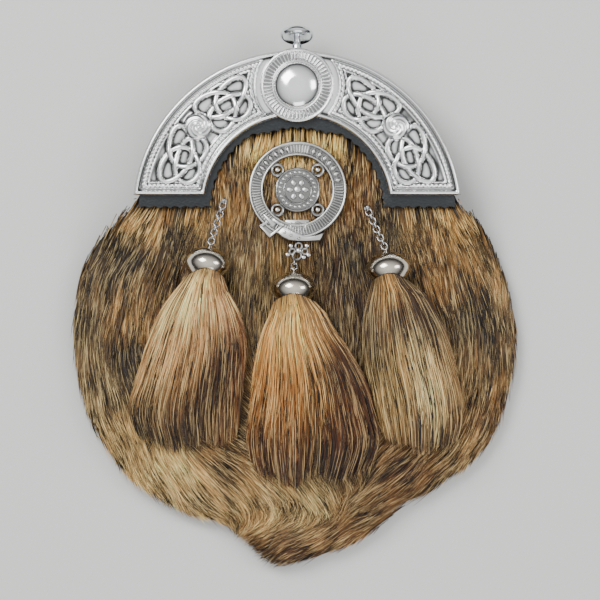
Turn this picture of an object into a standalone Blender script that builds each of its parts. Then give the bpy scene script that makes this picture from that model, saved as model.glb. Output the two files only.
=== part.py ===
"""Full-dress sporran pouch, lying on its back with its front up.

+X is to the wearer's left as the front is seen, +Y is toward the metal arch, +Z is up.
Sizes are in millimetres in the tables and turned into metres where a mesh is made.
"""

import math

import bmesh
import bpy
from mathutils import Matrix, Vector

MM = 0.001
GAP = 0.3  # clear space between pieces that touch in the real object
STEP_IN = 0.15  # how far raised work stands in from the edge of what carries it

# The metal arch: an outer and an inner arc with centres of their own.
ARCH_CENTRE_Y = 41.35
ARCH_R = 82.25
INNER_CENTRE_Y = 44.8
INNER_R = 46.5
ARCH_FOOT_Y = 51.5
ARCH_STEPS = 28
INNER_STEPS = 18

# Pouch walls.
HUB_Y = -12.0  # centre that the outlines are measured from
WALL = 2.0
ARCH_CLEAR = 3.25  # from the arch's outside to the pouch, which follows it inside the skirt
POUCH_R = ARCH_R - ARCH_CLEAR
POUCH_TURN = 128.8  # where the outline meets the arch, from straight down
CROWN_Z = 25.0
RIM_Z = 16.0
ARCH_RIM_Z = 22.5
BACK_LIFT = 8.0  # how far the back stands off the surface beside the belt loops
BACK_TURNUP = 0.78
# turn from straight down in degrees, distance from the hub
POUCH_OUTLINE = (
    (0.0, 88.0),
    (30.0, 90.0),
    (60.0, 94.0),
    (90.0, 93.0),
    (110.0, 94.5),
    (120.0, 98.0),
    (128.8, 101.4),
)
# The fur's outline, with the tuft hanging at the bottom.
# turn from straight down in degrees (plus is right), distance from the hub
FUR_OUTLINE = (
    (-128.8, 101.0),
    (-120.0, 105.0),
    (-110.0, 110.0),
    (-97.0, 112.5),
    (-82.0, 113.0),
    (-65.0, 115.0),
    (-48.0, 115.0),
    (-38.0, 112.5),
    (-27.0, 110.0),
    (-18.0, 108.0),
    (-12.0, 113.0),
    (-6.0, 121.0),
    (0.0, 121.5),
    (8.0, 117.0),
    (18.0, 114.0),
    (25.0, 110.5),
    (31.0, 107.5),
    (41.0, 108.5),
    (56.0, 114.0),
    (72.0, 112.0),
    (87.0, 110.5),
    (101.0, 108.5),
    (115.0, 106.0),
    (128.8, 102.5),
)

# Fur coat.
HIDE_CLEAR = 0.8  # between the front panel and the hide
HIDE = 1.3
FUR_CROWN_Z = 33.5
FUR_EDGE_Z = 6.0
FUR_EDGE_UNDER_Z = 3.5
FUR_FRONT_Z = 26.6  # where the fur comes out from under the facing
FUR_RISE = 30.0  # length over which it rises to its full depth
FUR_OVERHANG = 4.0  # how far the hide reaches past the pouch before it falls
FUR_COLUMNS = 30
FUR_LAYERS = 6
LOCK_LIFT = 2.2
LOCK_DROP = 0.9
LOCK_TIP = 2.2
FUR_START_X = 80.0
FUR_TURN = 116.0

# Leather facing under the arch.
FACING_Z = 27.0
FACING = 1.8
FACING_R = 42.5
FACING_DIP = 3.0
FACING_FOOT_Y = 45.2
SCALLOP_DEEP = 1.2
ROUND_STEPS = 26  # scallops round the inner edge
FOOT_STEPS = 7

# Metal arch, upward from the facing.
PLATE_Z = FACING_Z + FACING + GAP
PLATE = 2.0
FACE_Z = PLATE_Z + PLATE
RIM = 2.4
RIM_HIGH = 1.6
SKIRT_Z = 20.0
SKIRT = 1.5
ROPE_INSET = 4.4
ROPE_WIDE = 1.5
ROPE_HIGH = 1.2
ROPE_TWISTS_OUT = 26
ROPE_TWISTS_IN = 12
MEDAL_R = 18.5
MEDAL_PROUD = 1.15  # how far the medallion stands out past the arch
MEDAL_Y = ARCH_CENTRE_Y + ARCH_R + MEDAL_PROUD - MEDAL_R
MEDAL_HIGH = 2.2
MEDAL_RIM = 1.6
RAY_R = (13.4, 16.7)
RAYS = 18
DOME_R = 11.6
DOME_HIGH = 4.4
BOSS_X = 49.4
BOSS_Y = 85.7
BOSS_R = 6.8
BOSS_HIGH = 2.0
KNOT_WIDE = 2.3
KNOT_HIGH = 1.3
KNOT_STEPS = 18
# Interlaced knots of one side: angle round the inner centre from +X, radius,
# half length along the arch, half width across it, turn of the knot
KNOTS = (
    (24.0, 63.5, 15.5, 10.5, 0.0),
    (66.0, 64.0, 13.0, 10.5, 180.0),
)

# Knob on top of the arch.
STEM_R = 1.7
COLLAR_R = 3.2
COLLAR_LONG = 2.0
STEM_LONG = 5.6
KNOB_TILT = 25.0
# distance along the knob's axis from the end of its stem, radius
KNOB_PROFILE = (
    (0.0, 3.4),
    (-0.6, 6.6),
    (1.0, 8.3),
    (2.6, 8.0),
    (4.0, 5.0),
    (4.6, 0.0),
)
KNOB_SIDES = 12

# Badge on the fur.
BADGE_X = 0.3
BADGE_Y = 53.75
BADGE_Z = 31.6
BADGE_TILT = 7.2
BADGE_SEAT = 1.6  # how far the fur stays under the badge
BADGE = 2.4
BADGE_R = 24.5
BAND_R = 17.2
BADGE_SIDES = 28
DISC_R = 11.2
DISC_SIDES = 16
PETALS = 6
BUCKLE_AT = (-15.6, -18.7)
BUCKLE = (10.0, 7.0)
BUCKLE_TURN = -32.0
TONGUE_AT = (-13.6, -23.6)
TAIL_AT = (12.4, -22.0)
DROP_AT = (0.5, -31.5)
DROP_R = 5.0
DROP_HOLE_AT = (-1.5, -33.8)
DROP_HOLE_R = 1.5
EYELET_R = 1.2
LIP_WIDE = 1.1
DISC_WIDE = 3.4
PETAL_OUT = 4.6
PETAL = (7.4, 3.6)
HUB_R = 2.6
ARMS = 4
ARM_OUT = (BAND_R + DISC_R) / 2
ARM_LAP = 0.9  # how far an arm runs into the ring and the disc
ARM_R = (BAND_R - DISC_R) / 2 + ARM_LAP
ARM_HOLE_R = 1.7
TONGUE = (9.0, 4.4)
TONGUE_TURN = 28.0
TAIL_R = 4.2
KNOT_AT = (0.0, -22.6)
KNOT_R = 4.6
BEAD_AT = (-0.1, -26.6)
BEAD_R = 2.2

# Chains: outer length, outer width, wire.
LINK = (4.5, 3.8, 0.8)
LINK_STEPS = 10  # twice an odd number, so that a link's sections fall to either side
WIRE_SIDES = 5
PITCH = 2.5
END_PITCH = 2.4
LOOP_R = 1.7  # centre line of the loop on a bell and of an eye
EYE_BASE_R = 2.4
EYE_BASE = 0.8

# Bells: name, centre x, y, z, lean of the axis in degrees, links, chain start x, y, z
BELLS = (
    ("left", -44.5, 18.0, 39.6, 8.5, 9, -36.7, 47.5, 31.2),
    ("centre", -1.6, 5.4, 40.5, 0.0, 2, -1.2, 19.53, 37.13),
    ("right", 45.3, 15.5, 39.6, -7.0, 9, 35.6, 43.2, 31.2),
)
BELL_SINK = 9.0
BELL_SINK_R = 27.0
# along the axis from the bell's centre, radius: top to mouth, then up the inside
BELL_PROFILE = (
    (7.4, 0.0),
    (7.2, 3.0),
    (5.4, 7.6),
    (2.2, 10.6),
    (-1.2, 11.25),
    (-4.6, 9.8),
    (-7.0, 7.9),
    (-7.0, 7.5),
    (1.0, 7.5),
    (1.0, 0.0),
)
BELL_SIDES = 16
BELL_LOOP_AT = 8.3

# Tassels, below each bell: distance down, left x, right x, depth.
TASSELS = {
    "left": (
        (8.0, -51.0, -40.0, 14.0),
        (22.0, -60.0, -34.5, 15.0),
        (40.0, -70.5, -29.0, 14.0),
        (60.0, -80.0, -27.0, 12.0),
        (78.0, -85.0, -28.5, 9.0),
        (91.0, -83.0, -31.0, 6.0),
    ),
    "centre": (
        (8.0, -9.0, 6.0, 14.0),
        (24.0, -17.0, 16.0, 16.0),
        (42.0, -23.0, 29.5, 15.0),
        (62.0, -25.0, 37.0, 13.0),
        (82.0, -24.5, 39.5, 10.0),
        (97.0, -18.0, 33.0, 6.0),
    ),
    "right": (
        (8.0, 39.0, 53.5, 14.0),
        (24.0, 33.0, 64.5, 15.0),
        (42.0, 32.0, 76.0, 14.0),
        (60.0, 35.5, 81.5, 12.0),
        (76.0, 40.5, 82.5, 9.0),
        (88.0, 44.0, 81.0, 6.0),
    ),
}
TASSEL_SIDES = 18
TASSEL_CLEAR = 0.4
NECK_R = 7.1
TIP_LONG = 5.0
RIDGE = 0.9

# Belt loops on the back.
LOOP_X = 55.0
LOOP_Y = (42.0, 86.0)
LOOP_WIDE = 20.0
LOOP_WALL = 2.0
LOOP_FOOT = 9.0
LOOP_SLOPE = 3.0
LOOP_BEND = 1.4  # how far the inside of a bend stands off its outside


def ease(value, low, high):
    """0 below low, 1 above high, smooth between."""
    t = min(max((value - low) / (high - low), 0.0), 1.0)
    return t * t * (3.0 - 2.0 * t)


def mix(a, b, share):
    return a + (b - a) * share


def row_at(table, key):
    """The row of a table at this key, on a smooth curve through the rows."""
    last = len(table) - 1
    key = min(max(key, table[0][0]), table[last][0])
    i = 0
    while i < last - 1 and key > table[i + 1][0]:
        i += 1
    low, high = table[i], table[i + 1]
    before = table[max(i - 1, 0)]
    after = table[min(i + 2, last)]
    span = high[0] - low[0]
    t = (key - low[0]) / span
    found = []
    for k in range(1, len(low)):
        m0 = (high[k] - before[k]) / (high[0] - before[0]) * span
        m1 = (after[k] - low[k]) / (after[0] - low[0]) * span
        value = (2 * t**3 - 3 * t**2 + 1) * low[k] + (t**3 - 2 * t**2 + t) * m0
        value += (3 * t**2 - 2 * t**3) * high[k] + (t**3 - t**2) * m1
        found.append(value)
    return found


def turn_of(x, y):
    """Direction from the hub in degrees from straight down, plus to the right."""
    return math.degrees(math.atan2(x, -(y - HUB_Y)))


def arch_reach(turn, radius):
    """Distance from the hub to the circle of this radius round the arch's centre."""
    angle = math.radians(turn)
    rise = ARCH_CENTRE_Y - HUB_Y
    along = -rise * math.cos(angle)
    return along + math.sqrt(along * along - rise * rise + radius * radius)


def pouch_reach(turn):
    if abs(turn) > POUCH_TURN:
        return arch_reach(turn, POUCH_R)
    return row_at(POUCH_OUTLINE, abs(turn))[0]


def fur_reach(turn):
    if abs(turn) > POUCH_TURN:
        return arch_reach(turn, ARCH_R)
    return row_at(FUR_OUTLINE, turn)[0]


def rim_z(turn):
    return mix(RIM_Z, ARCH_RIM_Z, ease(abs(turn), 100.0, POUCH_TURN))


def dome_z(x, y):
    """Outer face of the front panel."""
    turn = turn_of(x, y)
    share = min(math.hypot(x, y - HUB_Y) / pouch_reach(turn), 1.0)
    low = rim_z(turn)
    rise = (CROWN_Z - low) * (1.0 - share**2.6)
    return low + rise * mix(1.0, 0.3, ease(y, 5.0, 60.0))


def back_z(x, y):
    """Under face of the back panel."""
    share = math.hypot(x, y - HUB_Y) / pouch_reach(turn_of(x, y))
    upper = ease(y, 0.0, 30.0)
    turned = BACK_TURNUP * ease(share, 0.7, 1.0)
    return BACK_LIFT * (1.0 - (1.0 - upper) * (1.0 - turned))


def facing_edge(angle):
    """Radius of the facing's inner edge round the inner centre."""
    aside = abs(angle - 90.0)
    return FACING_R - FACING_DIP * (1.0 - ease(aside, 18.0, 34.0))


def arch_gap(x, y):
    """Distance from the facing's inner edge and feet."""
    if y > FACING_FOOT_Y:
        angle = math.degrees(math.atan2(y - INNER_CENTRE_Y, x))
        return max(facing_edge(angle) - math.hypot(x, y - INNER_CENTRE_Y), 0.0)
    aside = max(FACING_R - abs(x), abs(x) - ARCH_R, 0.0)
    return math.hypot(aside, FACING_FOOT_Y - y)


def badge_seat_z(y):
    """Plane that the badge lies along, a little under it."""
    slope = math.tan(math.radians(BADGE_TILT))
    return BADGE_Z - BADGE_SEAT - slope * (y - BADGE_Y)


def bell_press(x, y):
    """1 where a bell presses the fur down, fading to 0 round it."""
    away = min(math.hypot(x - bell[1], y - bell[2]) for bell in BELLS)
    return math.exp(-((away / BELL_SINK_R) ** 2) * 1.6)


def fur_z(x, y):
    """Smooth top of the fur, before its locks."""
    share = min(math.hypot(x, y - HUB_Y) / fur_reach(turn_of(x, y)), 1.0)
    full = FUR_EDGE_Z + (FUR_CROWN_Z - FUR_EDGE_Z) * (1.0 - share**3.2) ** 0.8
    z = mix(FUR_FRONT_Z, full, ease(arch_gap(x, y), 3.0, FUR_RISE))
    z -= BELL_SINK * bell_press(x, y)
    away = math.hypot(x - BADGE_X, y - BADGE_Y)
    return min(z, badge_seat_z(y) + 0.6 * max(away - BADGE_R - 3.0, 0.0))


def hide_z(x, y):
    """Under face of the hide: clear of the front panel, then falling to the fringe."""
    turn = turn_of(x, y)
    reach = math.hypot(x, y - HUB_Y)
    past = reach - pouch_reach(turn) - FUR_OVERHANG
    over = dome_z(x, y) + HIDE_CLEAR
    if past <= 0.0:
        return over
    span = max(fur_reach(turn) - pouch_reach(turn) - FUR_OVERHANG, 1.0)
    return mix(over, FUR_EDGE_UNDER_Z, min(past / span, 1.0))


def material(name, colour, metallic, roughness):
    made = bpy.data.materials.get(name) or bpy.data.materials.new(name)
    made.use_nodes = True
    made.diffuse_color = (*colour, 1.0)
    shader = made.node_tree.nodes["Principled BSDF"]
    shader.inputs["Base Color"].default_value = (*colour, 1.0)
    shader.inputs["Metallic"].default_value = metallic
    shader.inputs["Roughness"].default_value = roughness
    return made


def object_from(name, bm, made, smooth=False):
    """An object from millimetre geometry. It closes the bmesh."""
    bmesh.ops.scale(bm, vec=(MM, MM, MM), verts=bm.verts)
    bmesh.ops.recalc_face_normals(bm, faces=bm.faces)
    mesh = bpy.data.meshes.new(name)
    bm.to_mesh(mesh)
    bm.free()
    mesh.polygons.foreach_set("use_smooth", [smooth] * len(mesh.polygons))
    mesh.materials.append(made)
    obj = bpy.data.objects.new(name, mesh)
    bpy.data.collections["sporran_pouch"].objects.link(obj)
    return obj


def flat_shape(loops, low, high):
    """A bmesh of closed outlines, the later ones holes, raised from low to high."""
    curve = bpy.data.curves.new("outline", "CURVE")
    curve.dimensions = "2D"
    curve.fill_mode = "BOTH"
    curve.extrude = (high - low) / 2
    for loop in loops:
        spline = curve.splines.new("POLY")
        spline.points.add(len(loop) - 1)
        for point, (x, y) in zip(spline.points, loop):
            point.co = (x, y, 0.0, 1.0)
        spline.use_cyclic_u = True
    holder = bpy.data.objects.new("outline", curve)
    mesh = bpy.data.meshes.new_from_object(holder)
    bm = bmesh.new()
    bm.from_mesh(mesh)
    bpy.data.objects.remove(holder)
    bpy.data.curves.remove(curve)
    bpy.data.meshes.remove(mesh)
    bmesh.ops.remove_doubles(bm, verts=bm.verts, dist=1e-4)
    bmesh.ops.translate(bm, verts=bm.verts, vec=(0, 0, (high + low) / 2))
    return bm


def turned_shape(profile, sides):
    """A bmesh of revolution round Z from (height, radius) rows, closed at both ends."""
    bm = bmesh.new()
    rows = [bm.verts.new((radius, 0.0, height)) for height, radius in profile]
    for a, b in zip(rows, rows[1:]):
        bm.edges.new((a, b))
    bmesh.ops.spin(
        bm,
        geom=bm.verts[:] + bm.edges[:],
        cent=(0, 0, 0),
        axis=(0, 0, 1),
        angle=math.tau,
        steps=sides,
        use_merge=True,
    )
    bmesh.ops.remove_doubles(bm, verts=bm.verts, dist=1e-3)
    return bm


def ring_shape(radius, wire, steps, stretch=0.0):
    """A bmesh of a wire ring in the XY plane, drawn out along X by the stretch."""
    bm = bmesh.new()
    bmesh.ops.create_circle(bm, segments=WIRE_SIDES, radius=wire / 2)
    bmesh.ops.rotate(bm, verts=bm.verts, matrix=Matrix.Rotation(math.pi / 2, 3, "X"))
    bmesh.ops.translate(bm, verts=bm.verts, vec=(radius, 0, 0))
    bmesh.ops.spin(
        bm,
        geom=bm.verts[:] + bm.edges[:],
        cent=(0, 0, 0),
        axis=(0, 0, 1),
        angle=math.tau,
        steps=steps,
        use_merge=True,
    )
    for vert in bm.verts:
        vert.co.x += math.copysign(stretch, vert.co.x)
    return bm


def shell_shape(spokes, rings, top, under):
    """A closed plate: top and under give the point at a turn and a share of the reach."""
    bm = bmesh.new()
    bands = 2 * rings + 1
    bmesh.ops.create_uvsphere(bm, u_segments=spokes, v_segments=bands, radius=1.0)
    for vert in bm.verts:
        row = round(math.acos(max(-1.0, min(1.0, vert.co.z))) / math.pi * bands)
        turn = math.degrees(math.atan2(vert.co.x, -vert.co.y))
        if row in (0, bands):
            turn = 0.0
        if row <= rings:
            vert.co = top(turn, row / rings)
        else:
            vert.co = under(turn, (bands - row) / rings)
    return bm


def moved(bm, matrix):
    bmesh.ops.transform(bm, matrix=matrix, verts=bm.verts)
    return bm


def facing_matrix(at, along, up):
    """Local X along, local Z as near to up as it can be."""
    x = Vector(along).normalized()
    z = (Vector(up) - x * Vector(up).dot(x)).normalized()
    y = z.cross(x)
    turn = Matrix((x, y, z)).transposed()
    return Matrix.Translation(at) @ turn.to_4x4()


def fused(base, pieces):
    """Adds the pieces to the base as one solid."""
    group = bpy.data.collections.new(base.name + "_pieces")
    group.hide_render = True
    bpy.data.collections["cutters"].children.link(group)
    for piece in pieces:
        bpy.data.collections["sporran_pouch"].objects.unlink(piece)
        group.objects.link(piece)
        piece.hide_render = True
        piece.display_type = "WIRE"
    union = base.modifiers.new("union", "BOOLEAN")
    union.operation = "UNION"
    union.operand_type = "COLLECTION"
    union.collection = group
    union.solver = "EXACT"
    union.use_self = True
    return base


def outline_point(turn, share, reach):
    angle = math.radians(turn)
    distance = reach(turn) * share
    return distance * math.sin(angle), HUB_Y - distance * math.cos(angle)


def back_panel(leather):
    def under(turn, share):
        x, y = outline_point(turn, share, pouch_reach)
        return x, y, back_z(x, y)

    def top(turn, share):
        x, y, z = under(turn, share)
        return x, y, z + WALL

    return object_from("back_panel", shell_shape(32, 5, top, under), leather, True)


def front_panel(leather):
    def top(turn, share):
        x, y = outline_point(turn, share, pouch_reach)
        return x, y, dome_z(x, y)

    def under(turn, share):
        x, y, z = top(turn, share)
        return x, y, z - WALL

    return object_from("front_panel", shell_shape(32, 4, top, under), leather, True)


def gusset(leather):
    """A band round the sides and bottom; the top stays open as the mouth."""
    bm = bmesh.new()
    steps = 40
    bmesh.ops.create_grid(bm, x_segments=steps, y_segments=1, size=1.0)
    made = bmesh.ops.extrude_face_region(bm, geom=bm.faces[:])
    outer = {item for item in made["geom"] if isinstance(item, bmesh.types.BMVert)}
    for vert in bm.verts:
        turn = (POUCH_TURN - 9.0) * vert.co.x
        inset = 0.5 if vert in outer else 0.5 + WALL
        angle = math.radians(turn)
        distance = pouch_reach(turn) - inset
        x = distance * math.sin(angle)
        y = HUB_Y - distance * math.cos(angle)
        if vert.co.y > 0:
            z = dome_z(x, y) - WALL - GAP
        else:
            z = back_z(x, y) + WALL + GAP
        vert.co = (x, y, z)
    return object_from("gusset", bm, leather)


def fur_start(share):
    """Where a column of fur comes out from under the facing."""
    x = mix(-FUR_START_X, FUR_START_X, share)
    foot_y = FACING_FOOT_Y - 2.0
    radius = FACING_R - 1.5
    if abs(x) >= radius:
        return x, foot_y
    for _ in range(3):
        rise = math.sqrt(max(radius * radius - x * x, 0.0))
        radius = facing_edge(math.degrees(math.atan2(rise, x))) - 1.5
    rise = math.sqrt(max(radius * radius - x * x, 0.0))
    return x, max(INNER_CENTRE_Y + rise, foot_y)


def fur_root(x, y):
    """The hide's hidden edge under the metal, beyond a column's start."""
    low = ARCH_FOOT_Y + 8.0
    away = math.hypot(x, y - INNER_CENTRE_Y)
    scale = (INNER_R + 12.0) / away
    if y > FACING_FOOT_Y:
        return x * scale, max(INNER_CENTRE_Y + (y - INNER_CENTRE_Y) * scale, low)
    out = (abs(x) - FACING_R) / (FUR_START_X - FACING_R)
    return math.copysign(mix(INNER_R + 12.0, FUR_START_X - 5.0, out), x), low


def fur_end(share, push):
    turn = mix(-FUR_TURN, FUR_TURN, share)
    distance = fur_reach(turn) + push
    angle = math.radians(turn)
    return distance * math.sin(angle), HUB_Y - distance * math.cos(angle)


def fur_line(share, along, push):
    """A point on a column's way from the facing to the fringe."""
    start = fur_start(share)
    end = fur_end(share, push)
    bend = mix(start[0], end[0], 0.45), mix(start[1], end[1], 0.5)
    rest = 1.0 - along
    return tuple(
        rest * rest * start[i] + 2 * rest * along * bend[i] + along * along * end[i]
        for i in (0, 1)
    )


def fur_overhang_share(share):
    """How far along its way a column has left the pouch."""
    low, high = 0.3, 0.93
    for _ in range(24):
        middle = (low + high) / 2
        x, y = fur_line(share, middle, 0.0)
        past = math.hypot(x, y - HUB_Y) - pouch_reach(turn_of(x, y)) - FUR_OVERHANG
        if past < 0:
            low = middle
        else:
            high = middle
    return high


def fur_coat(fur):
    """The hide with its hair in overlapping locks, each row lying over the next."""
    rows = 2 + 2 * FUR_LAYERS + 1
    bm = bmesh.new()
    bmesh.ops.create_grid(bm, x_segments=FUR_COLUMNS, y_segments=rows, size=1.0)
    made = bmesh.ops.extrude_face_region(bm, geom=bm.faces[:])
    upper = {item for item in made["geom"] if isinstance(item, bmesh.types.BMVert)}
    for vert in bm.verts:
        column = round((vert.co.x + 1) / 2 * FUR_COLUMNS)
        row = round((vert.co.y + 1) / 2 * rows)
        share = column / FUR_COLUMNS
        odd = column % 2
        lift = 0.0
        if row == 0:
            x, y = fur_root(*fur_start(share))
        elif row == 1:
            x, y = fur_start(share)
        elif row == rows:
            x, y = fur_line(share, 1.0, LOCK_TIP if odd else -LOCK_TIP)
        else:
            layer, root = divmod(row - 2, 2)
            leave = fur_overhang_share(share)
            step = leave / FUR_LAYERS
            along = step * (layer + 1) - (0.0 if root else 0.22 * step)
            if layer < FUR_LAYERS - 1 and odd:
                along += 0.4 * step
            x, y = fur_line(share, along, 0.0)
            lift = (-LOCK_DROP if root else LOCK_LIFT) * (1.0 - bell_press(x, y)) ** 2
            lift *= ease(arch_gap(x, y), 3.0, 12.0)
            away = math.hypot(x - BADGE_X, y - BADGE_Y) - BADGE_R
            lift *= ease(away, 2.0, 14.0)
        low = hide_z(x, y)
        if vert not in upper:
            vert.co = (x, y, low)
            continue
        if row < 2:
            vert.co = (x, y, max(FUR_FRONT_Z - 0.4, low + 0.8))
        else:
            vert.co = (x, y, max(fur_z(x, y) + lift, low + HIDE))
    return object_from("fur_coat", bm, fur)


def belt_loop(name, side, leather):
    """A strap standing off the back, open from side to side."""
    low, high = LOOP_Y
    top = BACK_LIFT - 2 * GAP
    slope = LOOP_SLOPE
    outline = [
        (low, top),
        (low, top - LOOP_WALL),
        (low + LOOP_FOOT - slope, top - LOOP_WALL),
        (low + LOOP_FOOT, 0.0),
        (high - LOOP_FOOT, 0.0),
        (high - LOOP_FOOT + slope, top - LOOP_WALL),
        (high, top - LOOP_WALL),
        (high, top),
        (high - LOOP_FOOT + slope - LOOP_BEND, top),
        (high - LOOP_FOOT - LOOP_BEND, LOOP_WALL),
        (low + LOOP_FOOT + LOOP_BEND, LOOP_WALL),
        (low + LOOP_FOOT - slope + LOOP_BEND, top),
    ]
    bm = flat_shape([outline], -LOOP_WIDE / 2, LOOP_WIDE / 2)
    stand = Matrix(((0, 0, 1, side * LOOP_X), (1, 0, 0, 0), (0, 1, 0, 0), (0, 0, 0, 1)))
    return object_from(name, moved(bm, stand), leather)


def arc_points(centre_y, radius, start, end, steps):
    return [
        (
            radius * math.cos(math.radians(mix(start, end, i / steps))),
            centre_y + radius * math.sin(math.radians(mix(start, end, i / steps))),
        )
        for i in range(steps + 1)
    ]


def arch_outline(inset):
    """The metal arch's outline, moved in from each edge."""
    outer = ARCH_R - inset
    inner = INNER_R + inset
    foot = ARCH_FOOT_Y + inset
    start = math.degrees(math.asin((foot - ARCH_CENTRE_Y) / outer))
    points = arc_points(ARCH_CENTRE_Y, outer, start, 180.0 - start, ARCH_STEPS)
    start = math.degrees(math.asin((foot - INNER_CENTRE_Y) / inner))
    return points + arc_points(INNER_CENTRE_Y, inner, 180.0 - start, start, INNER_STEPS)


def leather_facing(leather):
    """The pinked leather seen under the arch, its inner edge and feet scalloped."""
    outer = ARCH_R - 3.0
    start = math.degrees(math.asin((FACING_FOOT_Y - ARCH_CENTRE_Y) / outer))
    points = arc_points(ARCH_CENTRE_Y, outer, start, 180.0 - start, 24)
    left = points[-1][0]
    steps = 3 * FOOT_STEPS
    for i in range(1, steps + 1):
        deep = SCALLOP_DEEP * abs(math.sin(math.pi * i / 3.0))
        points.append((mix(left, -FACING_R, i / steps), FACING_FOOT_Y - 0.6 + deep))
    steps = 3 * ROUND_STEPS
    foot = math.degrees(math.asin((FACING_FOOT_Y - INNER_CENTRE_Y) / FACING_R))
    for i in range(1, steps):
        angle = mix(180.0 - foot, foot, i / steps)
        radius = facing_edge(angle) + SCALLOP_DEEP * abs(math.sin(math.pi * i / 3.0))
        turn = math.radians(angle)
        y = INNER_CENTRE_Y + radius * math.sin(turn)
        points.append((radius * math.cos(turn), y))
    steps = 3 * FOOT_STEPS
    for i in range(steps):
        deep = SCALLOP_DEEP * abs(math.sin(math.pi * i / 3.0))
        points.append((mix(FACING_R, -left, i / steps), FACING_FOOT_Y - 0.6 + deep))
    bm = flat_shape([points], FACING_Z, FACING_Z + FACING)
    return object_from("leather_facing", bm, leather)


def bar_shape(path, width, height, closed, flat):
    """A raised bar along a path of (x, y, base z); flat is the share of its width on top."""
    bm = bmesh.new()
    rings = []
    count = len(path)
    for i, (x, y, z) in enumerate(path):
        before = path[(i - 1) % count] if closed or i else path[i]
        after = path[(i + 1) % count] if closed or i < count - 1 else path[i]
        along = Vector((after[0] - before[0], after[1] - before[1]))
        side = Vector((-along.y, along.x)).normalized() * width / 2
        low = FACE_Z - 0.6
        spots = [(1.0, low), (flat, z + height), (-flat, z + height), (-1.0, low)]
        if not flat:
            del spots[2]
        rings.append(
            [bm.verts.new((x + side.x * out, y + side.y * out, at)) for out, at in spots]
        )
    pairs = list(zip(rings, rings[1:])) + ([(rings[-1], rings[0])] if closed else [])
    for a, b in pairs:
        sides = len(a)
        for k in range(sides):
            bm.faces.new((a[k], b[k], b[(k + 1) % sides], a[(k + 1) % sides]))
    if not closed:
        bm.faces.new(rings[0])
        bm.faces.new(rings[-1])
    return bm


def knot(name, side, row, metal):
    """A three-loop interlace, passing over and under itself."""
    angle, radius, half_long, half_wide, turn = row
    path = []
    for i in range(KNOT_STEPS):
        t = math.tau * i / KNOT_STEPS
        across = (math.sin(t) + 2.0 * math.sin(2.0 * t)) / 2.75
        along = (math.cos(t) - 2.0 * math.cos(2.0 * t) + 0.5) / 2.6
        spin = math.radians(turn)
        along, across = (
            along * math.cos(spin) - across * math.sin(spin),
            along * math.sin(spin) + across * math.cos(spin),
        )
        spot = math.radians(angle) + half_long * along / radius
        away = radius + half_wide * across
        x = side * away * math.cos(spot)
        y = INNER_CENTRE_Y - 1.5 + away * math.sin(spot)
        path.append((x, y, FACE_Z - 0.45 * math.sin(3.0 * t)))
    return object_from(name, bar_shape(path, KNOT_WIDE, KNOT_HIGH, True, 0.0), metal)


def rope(name, centre_y, radius, low, high, twists, metal):
    """A corded border along an arc, as a row of twists."""
    path = []
    for i in range(2 * twists + 1):
        angle = math.radians(mix(low, high, i / (2 * twists)))
        away = radius + (0.35 if i % 2 else -0.35)
        z = FACE_Z + (0.0 if i % 2 else -0.5)
        path.append((away * math.cos(angle), centre_y + away * math.sin(angle), z))
    return object_from(name, bar_shape(path, ROPE_WIDE, ROPE_HIGH, False, 0.0), metal)


def medallion(metal):
    """The raised roundel with its rays, inside a plain rim."""
    low, high = PLATE_Z + 0.5, FACE_Z + MEDAL_HIGH
    profile = (
        (low, 0.0),
        (low, MEDAL_R),
        (high, MEDAL_R),
        (high, MEDAL_R - MEDAL_RIM),
        (high - 0.8, RAY_R[1]),
        (high - 0.8, RAY_R[0]),
        (high - 0.2, RAY_R[0] - 0.6),
        (high - 0.2, 0.0),
    )
    bm = turned_shape(profile, 2 * RAYS)
    for vert in bm.verts:
        away = math.hypot(vert.co.x, vert.co.y)
        if RAY_R[0] - 0.1 < away < RAY_R[1] + 0.1 and vert.co.z > low + 1.0:
            spot = round(math.atan2(vert.co.y, vert.co.x) / math.tau * 2 * RAYS)
            if spot % 2:
                vert.co.z += 0.7
    roundel = object_from("medallion", moved(bm, Matrix.Translation((0, MEDAL_Y, 0))), metal)
    return roundel


def dome(name, x, y, radius, high, base, sides, rings, metal):
    """A low dome standing on a face."""
    profile = [(base - 0.8, 0.0), (base - 0.8, radius)]
    for i in range(rings + 1):
        angle = math.pi / 2 * i / rings
        profile.append((base + high * math.sin(angle), radius * math.cos(angle)))
    bm = turned_shape(profile, sides)
    return object_from(name, moved(bm, Matrix.Translation((x, y, 0))), metal, True)


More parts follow.
